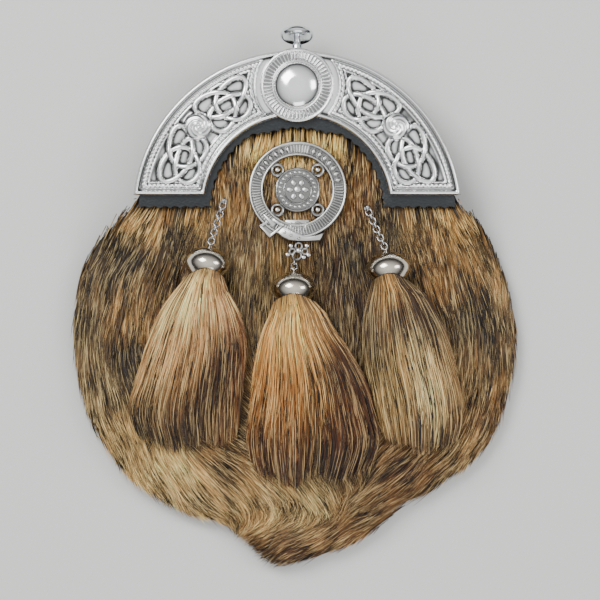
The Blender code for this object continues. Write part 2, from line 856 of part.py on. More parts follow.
def cantle(metal):
    """The metal arch: plate, skirt, rim, corded borders, knots, bosses and medallion."""
    plate = object_from("cantle", flat_shape([arch_outline(0.0)], PLATE_Z, FACE_Z), metal)
    foot = math.degrees(math.asin((ARCH_FOOT_Y - ARCH_CENTRE_Y) / ARCH_R))
    outside = arc_points(ARCH_CENTRE_Y, ARCH_R - STEP_IN, foot, 180.0 - foot, ARCH_STEPS)
    inside = arc_points(ARCH_CENTRE_Y, ARCH_R - SKIRT, 180.0 - foot, foot, ARCH_STEPS)
    pieces = [
        object_from("skirt", flat_shape([outside + inside], SKIRT_Z, PLATE_Z + 1.0), metal),
        object_from(
            "arch_rim",
            flat_shape(
                [arch_outline(STEP_IN), arch_outline(RIM)], FACE_Z - 0.5, FACE_Z + RIM_HIGH
            ),
            metal,
        ),
    ]
    outer = ARCH_R - ROPE_INSET
    inner = INNER_R + ROPE_INSET
    pieces.append(rope("rope_right", ARCH_CENTRE_Y, outer, 13.0, 77.0, ROPE_TWISTS_OUT // 2, metal))
    pieces.append(rope("rope_left", ARCH_CENTRE_Y, outer, 103.0, 167.0, ROPE_TWISTS_OUT // 2, metal))
    pieces.append(rope("cord_right", INNER_CENTRE_Y, inner, 15.0, 70.0, ROPE_TWISTS_IN // 2, metal))
    pieces.append(rope("cord_left", INNER_CENTRE_Y, inner, 110.0, 165.0, ROPE_TWISTS_IN // 2, metal))
    for side, word in ((1, "right"), (-1, "left")):
        for number, row in enumerate(KNOTS):
            pieces.append(knot(f"knot_{word}_{number}", side, row, metal))
        pieces.append(
            dome(f"boss_{word}", side * BOSS_X, BOSS_Y, BOSS_R, BOSS_HIGH, FACE_Z, 14, 3, metal)
        )
    pieces.append(medallion(metal))
    base = FACE_Z + MEDAL_HIGH - 0.2
    pieces.append(dome("medal_dome", 0.0, MEDAL_Y, DOME_R - 0.6, DOME_HIGH, base, 24, 4, metal))
    return fused(plate, pieces)


def knob(metal):
    """The faceted knob: a collar square to the arch, and a stem that leans back."""
    rows = [
        (0.0, 0.0),
        (0.0, COLLAR_R),
        (COLLAR_LONG, COLLAR_R - 0.8),
        (COLLAR_LONG, STEM_R),
        (STEM_LONG, STEM_R),
    ]
    rows += [(STEM_LONG + height, radius) for height, radius in KNOB_PROFILE]
    bm = turned_shape(rows, KNOB_SIDES)
    lean = Matrix.Rotation(math.radians(-KNOB_TILT), 3, "X")
    for vert in bm.verts:
        if vert.co.z > COLLAR_LONG + 0.01:
            above = vert.co - Vector((0, 0, COLLAR_LONG))
            vert.co = lean @ above + Vector((0, 0, COLLAR_LONG))
    start = Vector((0.0, MEDAL_Y + MEDAL_R + GAP, PLATE_Z - 1.5))
    stand = Matrix.Translation(start) @ Matrix.Rotation(-math.pi / 2, 4, "X")
    return object_from("knob", moved(bm, stand), metal)


def circle(x, y, radius, sides, start=0.0):
    return [
        (
            x + radius * math.cos(start + math.tau * i / sides),
            y + radius * math.sin(start + math.tau * i / sides),
        )
        for i in range(sides)
    ]


def turned_box(x, y, size, degrees):
    """Corners of a rectangle turned about its middle."""
    turn = math.radians(degrees)
    half = size[0] / 2, size[1] / 2
    corners = ((-1, -1), (1, -1), (1, 1), (-1, 1))
    return [
        (
            x + a * half[0] * math.cos(turn) - b * half[1] * math.sin(turn),
            y + a * half[0] * math.sin(turn) + b * half[1] * math.cos(turn),
        )
        for a, b in corners
    ]


def badge(metal):
    """A buckled strap ring round a pierced rosette, with a small drop below."""
    seat = Matrix.Translation((BADGE_X, BADGE_Y, BADGE_Z)) @ Matrix.Rotation(
        math.radians(-BADGE_TILT), 4, "X"
    )

    def piece(name, loops, low, high):
        return object_from(name, moved(flat_shape(loops, low, high), seat), metal)

    ring = piece(
        "badge",
        [circle(0, 0, BADGE_R, BADGE_SIDES), circle(0, 0, BAND_R, BADGE_SIDES)],
        0.0,
        BADGE,
    )
    pieces = [
        piece(
            "ring_lip_outer",
            [
                circle(0, 0, BADGE_R - STEP_IN, BADGE_SIDES),
                circle(0, 0, BADGE_R - LIP_WIDE, BADGE_SIDES),
            ],
            BADGE - 0.4,
            BADGE + 0.6,
        ),
        piece(
            "ring_lip_inner",
            [
                circle(0, 0, BAND_R + LIP_WIDE, BADGE_SIDES),
                circle(0, 0, BAND_R + STEP_IN, BADGE_SIDES),
            ],
            BADGE - 0.4,
            BADGE + 0.6,
        ),
        piece(
            "disc",
            [circle(0, 0, DISC_R, DISC_SIDES), circle(0, 0, DISC_R - DISC_WIDE, DISC_SIDES)],
            0.2,
            BADGE,
        ),
    ]
    for i in range(PETALS):
        turn = math.tau * i / PETALS
        x, y = PETAL_OUT * math.cos(turn), PETAL_OUT * math.sin(turn)
        low = 0.3 + 0.1 * (i % 2)
        shape = [turned_box(x, y, PETAL, math.degrees(turn))]
        pieces.append(piece(f"petal_{i}", shape, low, BADGE - low))
    pieces.append(piece("hub", [circle(0, 0, HUB_R, 12, 0.1)], 0.2, BADGE + 0.5))
    for i in range(ARMS):
        turn = math.tau * (i + 0.5) / ARMS
        x, y = ARM_OUT * math.cos(turn), ARM_OUT * math.sin(turn)
        shape = [circle(x, y, ARM_R, 9, 0.13), circle(x, y, ARM_HOLE_R, 6, 0.13)]
        pieces.append(piece(f"arm_{i}", shape, 0.35, BADGE - 0.25))
    frame = turned_box(*BUCKLE_AT, BUCKLE, BUCKLE_TURN)
    hole = turned_box(*BUCKLE_AT, (BUCKLE[0] - 4.4, BUCKLE[1] - 3.2), BUCKLE_TURN)
    pieces.append(piece("buckle", [frame, hole], 0.3, BADGE + 1.4))
    tongue = turned_box(*TONGUE_AT, TONGUE, TONGUE_TURN)
    pieces.append(piece("strap_tongue", [tongue], 0.2, BADGE))
    pieces.append(piece("strap_tail", [circle(*TAIL_AT, TAIL_R, 10)], 0.1, BADGE + 0.3))
    pieces.append(piece("strap_knot", [circle(*KNOT_AT, KNOT_R, 11)], 0.4, BADGE + 0.9))
    pieces.append(piece("strap_bead", [circle(*BEAD_AT, BEAD_R, 10)], 0.2, BADGE + 0.4))
    drop = circle(*DROP_AT, DROP_R, 14)
    hole = circle(*DROP_HOLE_AT, DROP_HOLE_R, 8)
    eyelet = circle(DROP_AT[0] + 1.9, DROP_AT[1] + 1.5, EYELET_R, 8)
    pieces.append(piece("drop", [drop, hole, eyelet], 1.4, 2.4))
    return fused(ring, pieces)


def bell_axis(row):
    """Unit vector from a bell's mouth to its loop, in the plane of the fur."""
    lean = math.radians(row[4])
    return Vector((math.sin(lean), math.cos(lean), 0.0))


def bell(row, metal):
    """A domed cap, open below, with a wire loop on top."""
    name, x, y, z = row[:4]
    axis = bell_axis(row)
    seat = facing_matrix((x, y, z), axis, (0, 0, 1)) @ Matrix.Rotation(math.pi / 2, 4, "Y")
    shape = moved(turned_shape(BELL_PROFILE, BELL_SIDES), seat)
    cap = object_from(f"bell_{name}", shape, metal, True)
    shape = ring_shape(LOOP_R, LINK[2], LINK_STEPS)
    at = Vector((x, y, z)) + axis * BELL_LOOP_AT
    loop = object_from(
        f"loop_{name}", moved(shape, facing_matrix(at, axis, (1, 0, 0))), metal, True
    )
    return fused(cap, [loop])


def chain_line(row):
    """Where a chain starts, at the bell's loop, and its direction."""
    start = Vector(row[1:4]) + bell_axis(row) * BELL_LOOP_AT
    return start, (Vector(row[6:9]) - start).normalized()


def chain(row, metal):
    """Cable links from the bell's loop to what holds the chain."""
    name = row[0]
    start, along = chain_line(row)
    links = []
    for i in range(row[5]):
        at = start + along * (END_PITCH + PITCH * i)
        up = (0, abs(along.z), along.y) if i % 2 == 0 else (1, 0, 0)
        shape = ring_shape(
            (LINK[1] - LINK[2]) / 2, LINK[2], LINK_STEPS, (LINK[0] - LINK[1]) / 2
        )
        placed = moved(shape, facing_matrix(at, along, up))
        links.append(object_from(f"chain_{name}_{i + 1}", placed, metal, True))
    return links


def chain_eye(row, metal):
    """The plain ring on a small base that holds a side chain, hidden by the fur."""
    name = row[0]
    start, along = chain_line(row)
    at = start + along * (2 * END_PITCH + PITCH * (row[5] - 1))
    up = (0, 0, 1) if row[5] % 2 == 0 else (1, 0, 0)
    shape = moved(ring_shape(LOOP_R, LINK[2], LINK_STEPS), facing_matrix(at, along, up))
    ring = object_from(f"chain_eye_{name}", shape, metal, True)
    low = at.z - LOOP_R - LINK[2] / 2 - 0.3
    base = object_from(
        f"eye_base_{name}",
        flat_shape([circle(at.x, at.y, EYE_BASE_R, 10)], low, low + EYE_BASE),
        metal,
    )
    return fused(ring, [base])


def tassel(row, hair):
    """A hair tassel: a neck in the bell, then a flattened fan that ends in locks."""
    name, bell_x, bell_y, bell_z = row[:4]
    table = TASSELS[name]
    axis = bell_axis(row)
    bands = 10
    first, longest = table[0][0], table[-1][0]
    bm = bmesh.new()
    bmesh.ops.create_uvsphere(bm, u_segments=TASSEL_SIDES, v_segments=bands, radius=1.0)
    for vert in bm.verts:
        band = round(math.acos(max(-1.0, min(1.0, vert.co.z))) / math.pi * bands)
        angle = math.atan2(vert.co.y, vert.co.x)
        number = round(angle / math.tau * TASSEL_SIDES)
        if band <= 2:
            down = (-0.6, -0.6, 7.4)[band]
            radius = NECK_R if band else 0.0
            centre = Vector((bell_x, bell_y, bell_z)) - axis * down
            side = axis.cross(Vector((0, 0, 1)))
            vert.co = centre + side * radius * math.cos(angle)
            vert.co.z += radius * math.sin(angle)
            continue
        share = (band - 3) / (bands - 4)
        down = mix(first + 2.0, longest, min(share, 1.0))
        left, right, deep = row_at(table, down)
        middle, half = (left + right) / 2, (right - left) / 2
        y = bell_y - down
        odd = number % 2
        if band == bands:
            x, y, half = middle, y + 5.0, 0.0
        else:
            swell = 1.0 + (0.035 if odd else -0.035)
            x = middle + half * math.cos(angle) * swell
            if band == bands - 1:
                y -= TIP_LONG * (1.0 if odd else -0.6)
            y += 8.0 * share * (math.cos(angle) ** 2)
        rest = fur_z(x, y) + TASSEL_CLEAR + LOCK_LIFT + 0.3 * deep
        base = mix(bell_z, rest, ease(share, 0.0, 0.28))
        ridge = RIDGE if odd else -RIDGE
        if band == bands:
            z = base + 0.2 * deep
        elif math.sin(angle) > 0.0:
            z = base + (0.75 * deep + ridge) * math.sin(angle)
        else:
            z = base + 0.28 * deep * math.sin(angle)
        vert.co = (x, y, z)
    return object_from(f"tassel_{name}", bm, hair)


def settle():
    """Moves everything so that the origin is at the middle of the box's floor."""
    bpy.context.view_layer.update()
    graph = bpy.context.evaluated_depsgraph_get()
    corners = []
    for obj in bpy.data.collections["sporran_pouch"].objects:
        found = obj.evaluated_get(graph)
        corners += [found.matrix_world @ Vector(corner) for corner in found.bound_box]
    low = Vector([min(corner[i] for corner in corners) for i in range(3)])
    high = Vector([max(corner[i] for corner in corners) for i in range(3)])
    shift = Vector((-(low.x + high.x) / 2, -(low.y + high.y) / 2, -low.z))
    for obj in bpy.data.objects:
        obj.location += shift
    print("moved by", [round(value * 1000, 4) for value in shift])


def main():
    for obj in list(bpy.data.objects):
        bpy.data.objects.remove(obj)
    for name in ("sporran_pouch", "cutters"):
        group = bpy.data.collections.new(name)
        bpy.context.scene.collection.children.link(group)
        group.hide_render = name == "cutters"
    black = material("black_leather", (0.012, 0.012, 0.013), 0.0, 0.45)
    lining = material("pouch_leather", (0.02, 0.018, 0.017), 0.0, 0.6)
    strap = material("loop_leather", (0.015, 0.014, 0.014), 0.0, 0.5)
    fur = material("fur", (0.42, 0.26, 0.11), 0.0, 0.8)
    silver = material("silver", (0.78, 0.78, 0.79), 1.0, 0.22)
    pewter = material("pewter", (0.22, 0.22, 0.22), 1.0, 0.38)
    nickel = material("dark_nickel", (0.30, 0.29, 0.28), 1.0, 0.16)
    steel = material("chain_steel", (0.55, 0.55, 0.56), 1.0, 0.25)
    hair = material("tassel_hair", (0.50, 0.33, 0.17), 0.0, 0.75)
    back_panel(lining)
    gusset(lining)
    front_panel(lining)
    belt_loop("belt_loop_left", -1, strap)
    belt_loop("belt_loop_right", 1, strap)
    fur_coat(fur)
    leather_facing(black)
    cantle(silver)
    knob(silver)
    badge(pewter)
    for row in BELLS:
        bell(row, nickel)
        chain(row, steel)
        if row[0] != "centre":
            chain_eye(row, steel)
        tassel(row, hair)
    settle()


main()
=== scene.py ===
"""Looks of a fur-fronted dress pouch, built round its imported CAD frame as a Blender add-on.

Lengths in the tables are millimetres in the part's own design plane: x to the right and y up as
the front is seen, z out of the front. in_frame() takes them to the frame's metres.
"""

import math

import bmesh
import bpy
import numpy as np
from bpy.props import FloatProperty, FloatVectorProperty, IntProperty, PointerProperty
from mathutils import Matrix, Vector


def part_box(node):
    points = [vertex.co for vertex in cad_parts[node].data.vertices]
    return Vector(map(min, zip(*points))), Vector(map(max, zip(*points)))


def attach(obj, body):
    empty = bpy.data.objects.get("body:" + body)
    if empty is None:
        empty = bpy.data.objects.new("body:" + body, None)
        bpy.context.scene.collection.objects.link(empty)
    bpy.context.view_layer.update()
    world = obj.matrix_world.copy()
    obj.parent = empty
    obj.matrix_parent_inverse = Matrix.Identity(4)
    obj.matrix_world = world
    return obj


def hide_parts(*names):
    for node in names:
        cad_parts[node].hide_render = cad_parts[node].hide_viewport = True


bl_info = {
    "name": "Sporran pouch",
    "version": (1, 0, 0),
    "blender": (4, 5, 0),
    "location": "View3D > Sidebar > Sporran",
    "description": "Builds the fur, tassels, metalwork and leather of a dress pouch",
    "category": "Add Mesh",
}

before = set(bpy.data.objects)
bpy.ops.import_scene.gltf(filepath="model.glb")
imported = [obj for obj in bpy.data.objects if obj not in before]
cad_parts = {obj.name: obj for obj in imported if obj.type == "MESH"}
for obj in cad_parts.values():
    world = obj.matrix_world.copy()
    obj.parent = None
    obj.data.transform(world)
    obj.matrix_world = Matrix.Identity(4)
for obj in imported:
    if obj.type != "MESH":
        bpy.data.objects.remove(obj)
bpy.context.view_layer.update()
MM = 0.001

# Outlines, shared with the part's source.
ARCH_CENTRE_Y = 41.35
ARCH_R = 82.25
INNER_CENTRE_Y = 44.8
INNER_R = 46.5
ARCH_FOOT_Y = 51.5
HUB_Y = -12.0
WALL = 2.0
GAP = 0.3
# inset from the outline, share of the height
GUSSET_SECTION = (
    (0.4, 0.0),
    (0.0, 0.08),
    (0.5, 0.5),
    (0.0, 0.92),
    (0.4, 1.0),
    (WALL, 1.0),
    (WALL + 0.2, 0.5),
    (WALL, 0.0),
)
POUCH_R = 79.0
POUCH_TURN = 128.8
CROWN_Z = 25.0
RIM_Z = 16.0
ARCH_RIM_Z = 22.5
BACK_LIFT = 8.0
BACK_TURNUP = 0.78
# turn from straight down in degrees, reach from the hub
POUCH_OUTLINE = (
    (0.0, 88.0),
    (30.0, 90.0),
    (60.0, 94.0),
    (90.0, 93.0),
    (110.0, 94.5),
    (120.0, 98.0),
    (128.8, 101.4),
)
FUR_OUTLINE = (
    (-128.8, 101.0),
    (-120.0, 105.0),
    (-110.0, 110.0),
    (-97.0, 112.5),
    (-82.0, 113.0),
    (-65.0, 115.0),
    (-48.0, 115.0),
    (-38.0, 112.5),
    (-27.0, 110.0),
    (-18.0, 108.0),
    (-12.0, 113.0),
    (-6.0, 121.0),
    (0.0, 121.5),
    (8.0, 117.0),
    (18.0, 114.0),
    (25.0, 110.5),
    (31.0, 107.5),
    (41.0, 108.5),
    (56.0, 114.0),
    (72.0, 112.0),
    (87.0, 110.5),
    (101.0, 108.5),
    (115.0, 106.0),
    (128.8, 102.5),
)
COAT_X = (-116.0, 117.0)
COAT_Y = (-136.0, 90.0)
HIDE_CLEAR = 0.8
FUR_CROWN_Z = 33.5
FUR_EDGE_Z = 6.0
FUR_EDGE_UNDER_Z = 3.5
FUR_FRONT_Z = 26.6
FUR_RISE = 30.0
FUR_OVERHANG = 4.0
FACING_Z = 27.0
FACING = 1.8
FACING_R = 42.5
FACING_DIP = 3.0
FACING_FOOT_Y = 45.2
SCALLOP_DEEP = 1.2
SCALLOPS_ROUND = 26
SCALLOPS_FOOT = 7
PLATE_Z = 29.1
FACE_Z = 31.1
SKIRT_Z = 20.0
SKIRT = 1.5
RIM = 2.4
RIM_HIGH = 1.6
MEDAL_Y = 106.25
MEDAL_R = 18.5
MEDAL_HIGH = 2.2
DOME_R = 11.6
DOME_HIGH = 4.4
BOSS_X = 49.4
BOSS_Y = 85.7
BOSS_R = 6.8
BOSS_HIGH = 2.0
BADGE_X = 0.3
BADGE_Y = 53.75
BADGE_Z = 31.6
BADGE_TILT = 7.2
BADGE = 2.4
BADGE_R = 24.5
BAND_R = 17.2
BELL_SINK = 9.0
BELL_SINK_R = 27.0
BELL_LOOP_AT = 8.3
LINK_LONG = 4.5
LINK_WIDE = 3.8
LINK_WIRE = 0.8
PITCH = 2.5
END_PITCH = 2.4
LOOP_R = 1.7
EYE_PROFILE = ((0.0, 0.0), (0.0, 1.5), (0.6, 1.3), (0.6, 0.0))
LOCK_LIFT = 2.2
TASSEL_CLEAR = 0.4
# height along the bell's axis, radius
BELL_PROFILE = (
    (8.0, 0.0), (8.0, 1.6), (7.5, 2.2), (7.2, 3.0), (7.0, 4.4), (6.3, 6.2), (5.2, 7.9),
    (3.8, 9.4), (2.2, 10.5), (0.6, 11.1), (-0.8, 11.25), (-2.2, 11.0), (-3.4, 10.5),
    (-4.6, 9.8), (-5.8, 9.0), (-6.7, 8.3), (-7.0, 7.9), (-6.8, 7.5), (1.0, 7.2), (1.0, 0.0),
)
# name, centre x, y, z, lean in degrees, links, chain end x, y, z
BELLS = (
    ("left", -44.5, 18.0, 39.6, 8.5, 9, -36.7, 47.5, 31.2),
    ("centre", -1.6, 5.4, 40.5, 0.0, 2, -1.2, 19.53, 37.13),
    ("right", 45.3, 15.5, 39.6, -7.0, 9, 35.6, 43.2, 31.2),
)
# Relief of the arch. Distances are in from its nearest edge.
ROPE_AT = 4.5
ROPE_WIDE = 1.9
ROPE_HIGH = 1.15
ROPE_PITCH = 2.2
ROPE_LEAN = 0.35
ROPE_LEAN_FROM = 4.4
# distance in, width, height of the raised lines on both sides of the rope
BORDER_LINES = (
    (2.95, 0.7, 0.55),
    (6.3, 0.8, 0.7),
)
FIELD_EDGE = (6.6, 7.4)
FIELD_DEEP = 0.35
# interlaced cord of one side: x and y of the four corners that its loops reach
KNOTS = (
    ((60.2, 85.4), (45.4, 76.8), (51.6, 58.6), (68.4, 60.2)),
    ((51.0, 96.6), (38.6, 83.2), (23.6, 93.8), (28.2, 110.2)),
)
KNOT_STEPS = 360
CORD_WIDE = 2.7
CORD_HIGH = 1.45
CORD_STEP = 0.45
CORD_GROOVE = 0.3
NO_CORD = -9.0
ARCH_GRID = ((600, 76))
SKIRT_STEPS = 97

# Roundel at the top of the arch.
MEDAL_GRID = ((288, 64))
MEDAL_EDGE = 0.9
MEDAL_EDGE_HIGH = 1.1
RIDGES = 54
RIDGES_FROM = (12.6, 13.2)
RIDGES_TO = (16.6, 17.1)
LIP_R = 12.2
LIP = 0.6
LIP_HIGH = 0.7

# Knob: height along its axis, radius.
COLLAR_PROFILE = ((0.0, 0.0), (0.0, 3.2), (1.4, 3.0), (2.0, 2.2), (2.0, 0.0))
KNOB_LEAN = -25.0
KNOB_PROFILE = (
    (-0.6, 0.0), (-0.6, 1.7), (3.6, 1.7), (3.6, 3.4), (3.0, 6.4), (3.6, 7.6), (4.6, 8.3),
    (5.6, 8.2), (6.3, 7.8), (6.9, 6.6), (7.6, 5.0), (7.9, 4.6), (8.1, 2.6), (8.2, 0.0),
)

# Badge, in its own plane: x and y from its centre, z from its back.
STRAP_GRID = ((480, 26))
STRAP_RIM_HIGH = 0.9
STRAP_RIM_OUT = 0.8
STRAP_RIM_IN = 0.7
RIBS = 96
# first and last turn of each studded stretch, in degrees
STUDDED = ((8.0, 74.0), (102.0, 164.0))
STUD_TURN = 9.0
STUD_R = 20.7
DISC_R = 11.2
# radius, wire
DISC_RINGS = ((10.6, 1.1), (6.9, 0.9))
BEADS = 24
BEADS_R = 8.75
BEAD_PROFILE = ((0.0, 0.0), (0.0, 0.8), (0.5, 0.65), (0.8, 0.0))
PETALS = 6
PETAL_AT = 3.7
PETAL_LONG = 1.6
PETAL_WIDE = 1.25
ARMS = 4
ARM_AT = 14.2
ARM_R = 2.8
ARM_WIRE = 1.7
ARM_PIN = ((0.0, 0.0), (0.0, 1.2), (1.6, 1.0), (2.1, 0.0))
BUCKLE = ((-19.4, -18.4), (-13.9, -24.4), (-6.6, -18.4), (-12.4, -14.2))
BUCKLE_OPEN = 0.66
# outline, underside, top, rounding
PRONG = (((-17.6, -12.6), (-16.2, -12.4), (-10.6, -17.4), (-12.6, -19.4)), 2.4, 4.3, 0.5)
PLATE = (((-8.6, -19.6), (-6.0, -15.2), (5.6, -15.2), (6.4, -23.0), (-2.0, -21.6)), 0.3, 2.1, 0.2)
FOLD_OUTLINE = (
    (-10.4, -21.6), (-7.6, -24.0), (-4.0, -25.6), (4.0, -26.0), (11.2, -25.6),
    (13.4, -21.6), (9.0, -23.0), (3.6, -23.4), (-1.6, -21.2), (-6.6, -18.4),
)
FOLD = (FOLD_OUTLINE, 0.3, 3.3, 0.6)
EYELET_AT = (0.2, -18.4, 2.3)
PLATE_BARS = (-3.4, 4.0)
FOLD_STUDS = ((-6.4, -21.6, 3.1), (-3.2, -23.2, 3.1), (0.6, -24.6, 3.1))
FOLD_STUD_PROFILE = ((0.0, 0.0), (0.0, 0.9), (0.5, 0.7), (0.8, 0.0))
# x, y, radius
DROP_RINGS = ((0.5, -28.2, 2.2), (-2.7, -30.9, 2.0), (3.6, -30.9, 2.0), (-0.4, -33.0, 2.7))
DROP_WIRE = 1.1
DROP_RING_Z = 1.2
DROP_HUB_AT = (0.5, -30.6, 0.6)
DROP_HUB_PROFILE = ((0.0, 0.0), (0.0, 1.4), (1.6, 1.1), (2.2, 0.0))
DROP_BEADS = (
    (-3.4, -28.2, 1.3), (4.5, -28.2, 1.3), (-5.0, -32.6, 1.3), (5.4, -32.8, 1.3), (3.0, -34.0, 1.3),
)
DROP_BEAD_PROFILE = ((-0.5, 0.0), (0.0, 1.1), (0.7, 0.9), (1.1, 0.0))

# Stitches: turns round the back, and rows at the feet of the belt loops.
SEAM_STITCHES = 118
SEAM_IN = 3.6
LOOP_X = 55.0
LOOP_ROWS_Y = (44.4, 49.2, 78.8, 83.6)
LOOP_STITCHES = 6
LOOP_STITCH_PITCH = 3.1
LOOP_TOP_Z = 5.4

# Roughness of the metals, and the colour in their recesses: patina and painted shade.
SILVER_ROUGH = 0.17
SILVER_TARNISH_AND_SHADE = (0.10, 0.11, 0.10)
KNOB_ROUGH = 0.16
PEWTER_ROUGH = 0.28
PEWTER_TARNISH_AND_SHADE = (0.12, 0.12, 0.12)
NICKEL_ROUGH = 0.16
STEEL_ROUGH = 0.22
# lowest and highest share of that roughness, as it varies over a piece
METAL_UNEVEN = (0.8, 1.25)
LEATHER_ROUGH = 0.52
LEATHER_UNEVEN = 0.08
LEATHER_SPECULAR = 0.4
HAIR_SPECULAR = 0.35

# Stage.
FLOOR_DROP = 0.1
FLOOR_HALF = 3000.0
SENSOR = 36.0
AIM = (1.5, -1.0, 28.0)
# name, place in metres, size, share of the key light's power
LIGHTS = (
    ("key", (-0.42, 0.5, 0.9), 0.5, 1.0),
    ("fill", (0.7, 0.15, 0.7), 0.35, 0.3),
    ("low", (0.1, -0.8, 0.5), 0.5, 0.25),
)
LIT_POINT = (0.0, 0.0, 0.02)
# height in the sky from 0 to 1, colour
SKY = (
    (0.25, (0.05, 0.05, 0.055, 1.0)),
    (0.98, (1.2, 1.2, 1.22, 1.0)),
)

# distance down from the bell, left x, right x, depth
TASSELS = {
    "left": (
        (3.0, -53.5, -35.5, 14.0),
        (7.0, -55.5, -36.5, 14.0),
        (10.0, -57.8, -36.2, 14.5),
        (20.0, -65.6, -30.5, 15.5),
        (30.0, -71.0, -26.8, 15.5),
        (40.0, -74.8, -25.0, 14.5),
        (60.0, -80.8, -26.6, 12.5),
        (76.0, -84.0, -28.6, 9.5),
        (92.0, -78.0, -31.0, 6.0),
    ),
    "centre": (
        (3.0, -10.6, 8.2, 14.0),
        (7.0, -11.4, 9.6, 14.0),
        (11.0, -13.0, 13.6, 15.0),
        (22.0, -17.6, 19.6, 16.5),
        (34.0, -20.4, 28.0, 16.0),
        (48.0, -22.2, 35.0, 14.5),
        (63.0, -24.0, 38.8, 13.0),
        (78.0, -24.8, 41.2, 10.0),
        (98.0, -19.0, 32.0, 6.0),
    ),
    "right": (
        (3.0, 36.6, 54.6, 14.0),
        (7.0, 37.4, 56.8, 14.0),
        (13.0, 35.2, 63.6, 15.0),
        (22.0, 32.9, 69.5, 15.5),
        (32.0, 32.4, 74.4, 15.5),
        (48.0, 33.8, 78.8, 14.0),
        (63.0, 37.4, 82.2, 11.5),
        (78.0, 41.2, 82.6, 9.0),
        (91.0, 45.0, 79.0, 6.0),
    ),
}

# Hair. COARSER scales the gap between clumps and the width of the strands.
COARSER = 1.0
# share of the way along a strand, share of its width
STRAND_TAPER = ((0.0, 0.3, 0.7, 1.0), (0.8, 1.0, 0.75, 0.0))

# Coat.
FLOW_STEPS = 12
TABLE_BLUR = 5.0
LOOSE_HAIRS = 0.22
RAGGED_BY = (-3.0, 1.6)
ROOT_SINK = 2.4
TIP_RISE = 1.9
SHORTEST_KEPT = 0.12
COAT_BRIGHT = 0.94
COAT_WARMTH = (1.02, 1.0, 0.94)
# middle brightness, power
COAT_CONTRAST = (0.42, 0.5)
COAT_DARK = (0.30, 0.27, 0.27)
# a hair whose draw is under this is dark
COAT_DARK_UNDER = -0.95
COAT_PALE = (1.0, 0.91, 0.66)
# a hair whose draw is over this is pale
COAT_PALE_OVER = 0.85
COAT_PALE_SHARE = 0.58
# share of the way along a strand, brightness
COAT_FALL = ((0.0, 0.35, 0.75, 1.0), (0.35, 0.75, 1.0, 1.02))
DARK_TIPS = 0.2
DARK_TIP_FROM = 0.8
DARK_TIP = 0.55

# Tassels.
LOCKS = 90
WHOLE_HAIRS = 0.33
SIDES_SHORTER = 9.0
MOUTH_DOWN = 7.4
MOUTH_RISE = 4.0
MOUTH_EDGE = 6.5
MOUTH_TALL_OVER = 11.6
MOUTH_TALL_UNDER = 6.3
TASSEL_TALL = 0.78
TASSEL_BRIGHT = 1.06
TASSEL_WARMTH = (1.03, 1.0, 0.90)
TASSEL_CONTRAST = (0.5, 0.4)
TASSEL_DARK = (0.34, 0.29, 0.27)
# limit for dark hair near the bell, and lower down
TASSEL_DARK_UNDER = (-1.7, -0.75)
TASSEL_PALE = (1.0, 0.92, 0.68)
TASSEL_PALE_OVER = 0.75
TASSEL_PALE_SHARE = 0.52
# Painted shade: a short hair is darker where it starts, tucked under the hair above it. Share of
# the way along it, brightness.
TASSEL_SHADE_ALONG = ((0.0, 0.3, 0.85, 1.0), (0.62, 0.92, 1.0, 1.05))

# Way that the hair lies: x, y, degrees from straight down, plus to the right.
FLOW = (
    (0.0, 85.0, 0.0),
    (-30.0, 70.0, -4.0),
    (30.0, 70.0, 4.0),
    (-32.0, 40.0, -3.0),
    (0.0, 20.0, 0.0),
    (30.0, 40.0, 3.0),
    (-62.0, 45.0, -14.0),
    (-80.0, 40.0, -34.0),
    (-95.0, 22.0, -30.0),
    (-104.0, 0.0, -12.0),
    (-60.0, 15.0, -10.0),
    (-80.0, -5.0, -8.0),
    (-108.0, -25.0, 0.0),
    (-104.0, -48.0, 10.0),
    (-88.0, -50.0, 14.0),
    (-80.0, -75.0, 24.0),
    (-62.0, -98.0, 34.0),
    (-92.0, -72.0, 24.0),
    (-42.0, -104.0, 50.0),
    (-34.0, -70.0, 62.0),
    (-34.0, -86.0, 52.0),
    (-12.0, -92.0, 44.0),
    (14.0, -104.0, 38.0),
    (24.0, -88.0, 30.0),
    (64.0, 45.0, 14.0),
    (84.0, 38.0, 30.0),
    (98.0, 20.0, 20.0),
    (104.0, -5.0, 6.0),
    (88.0, 0.0, 12.0),
    (70.0, 20.0, 12.0),
    (104.0, -30.0, 0.0),
    (100.0, -55.0, -14.0),
    (86.0, -70.0, -30.0),
    (66.0, -84.0, -44.0),
    (48.0, -92.0, -54.0),
    (50.0, -108.0, -56.0),
    (34.0, -104.0, -62.0),
    (16.0, -116.0, -66.0),
    (-4.0, -122.0, -66.0),
    (-20.0, -128.0, -60.0),
)

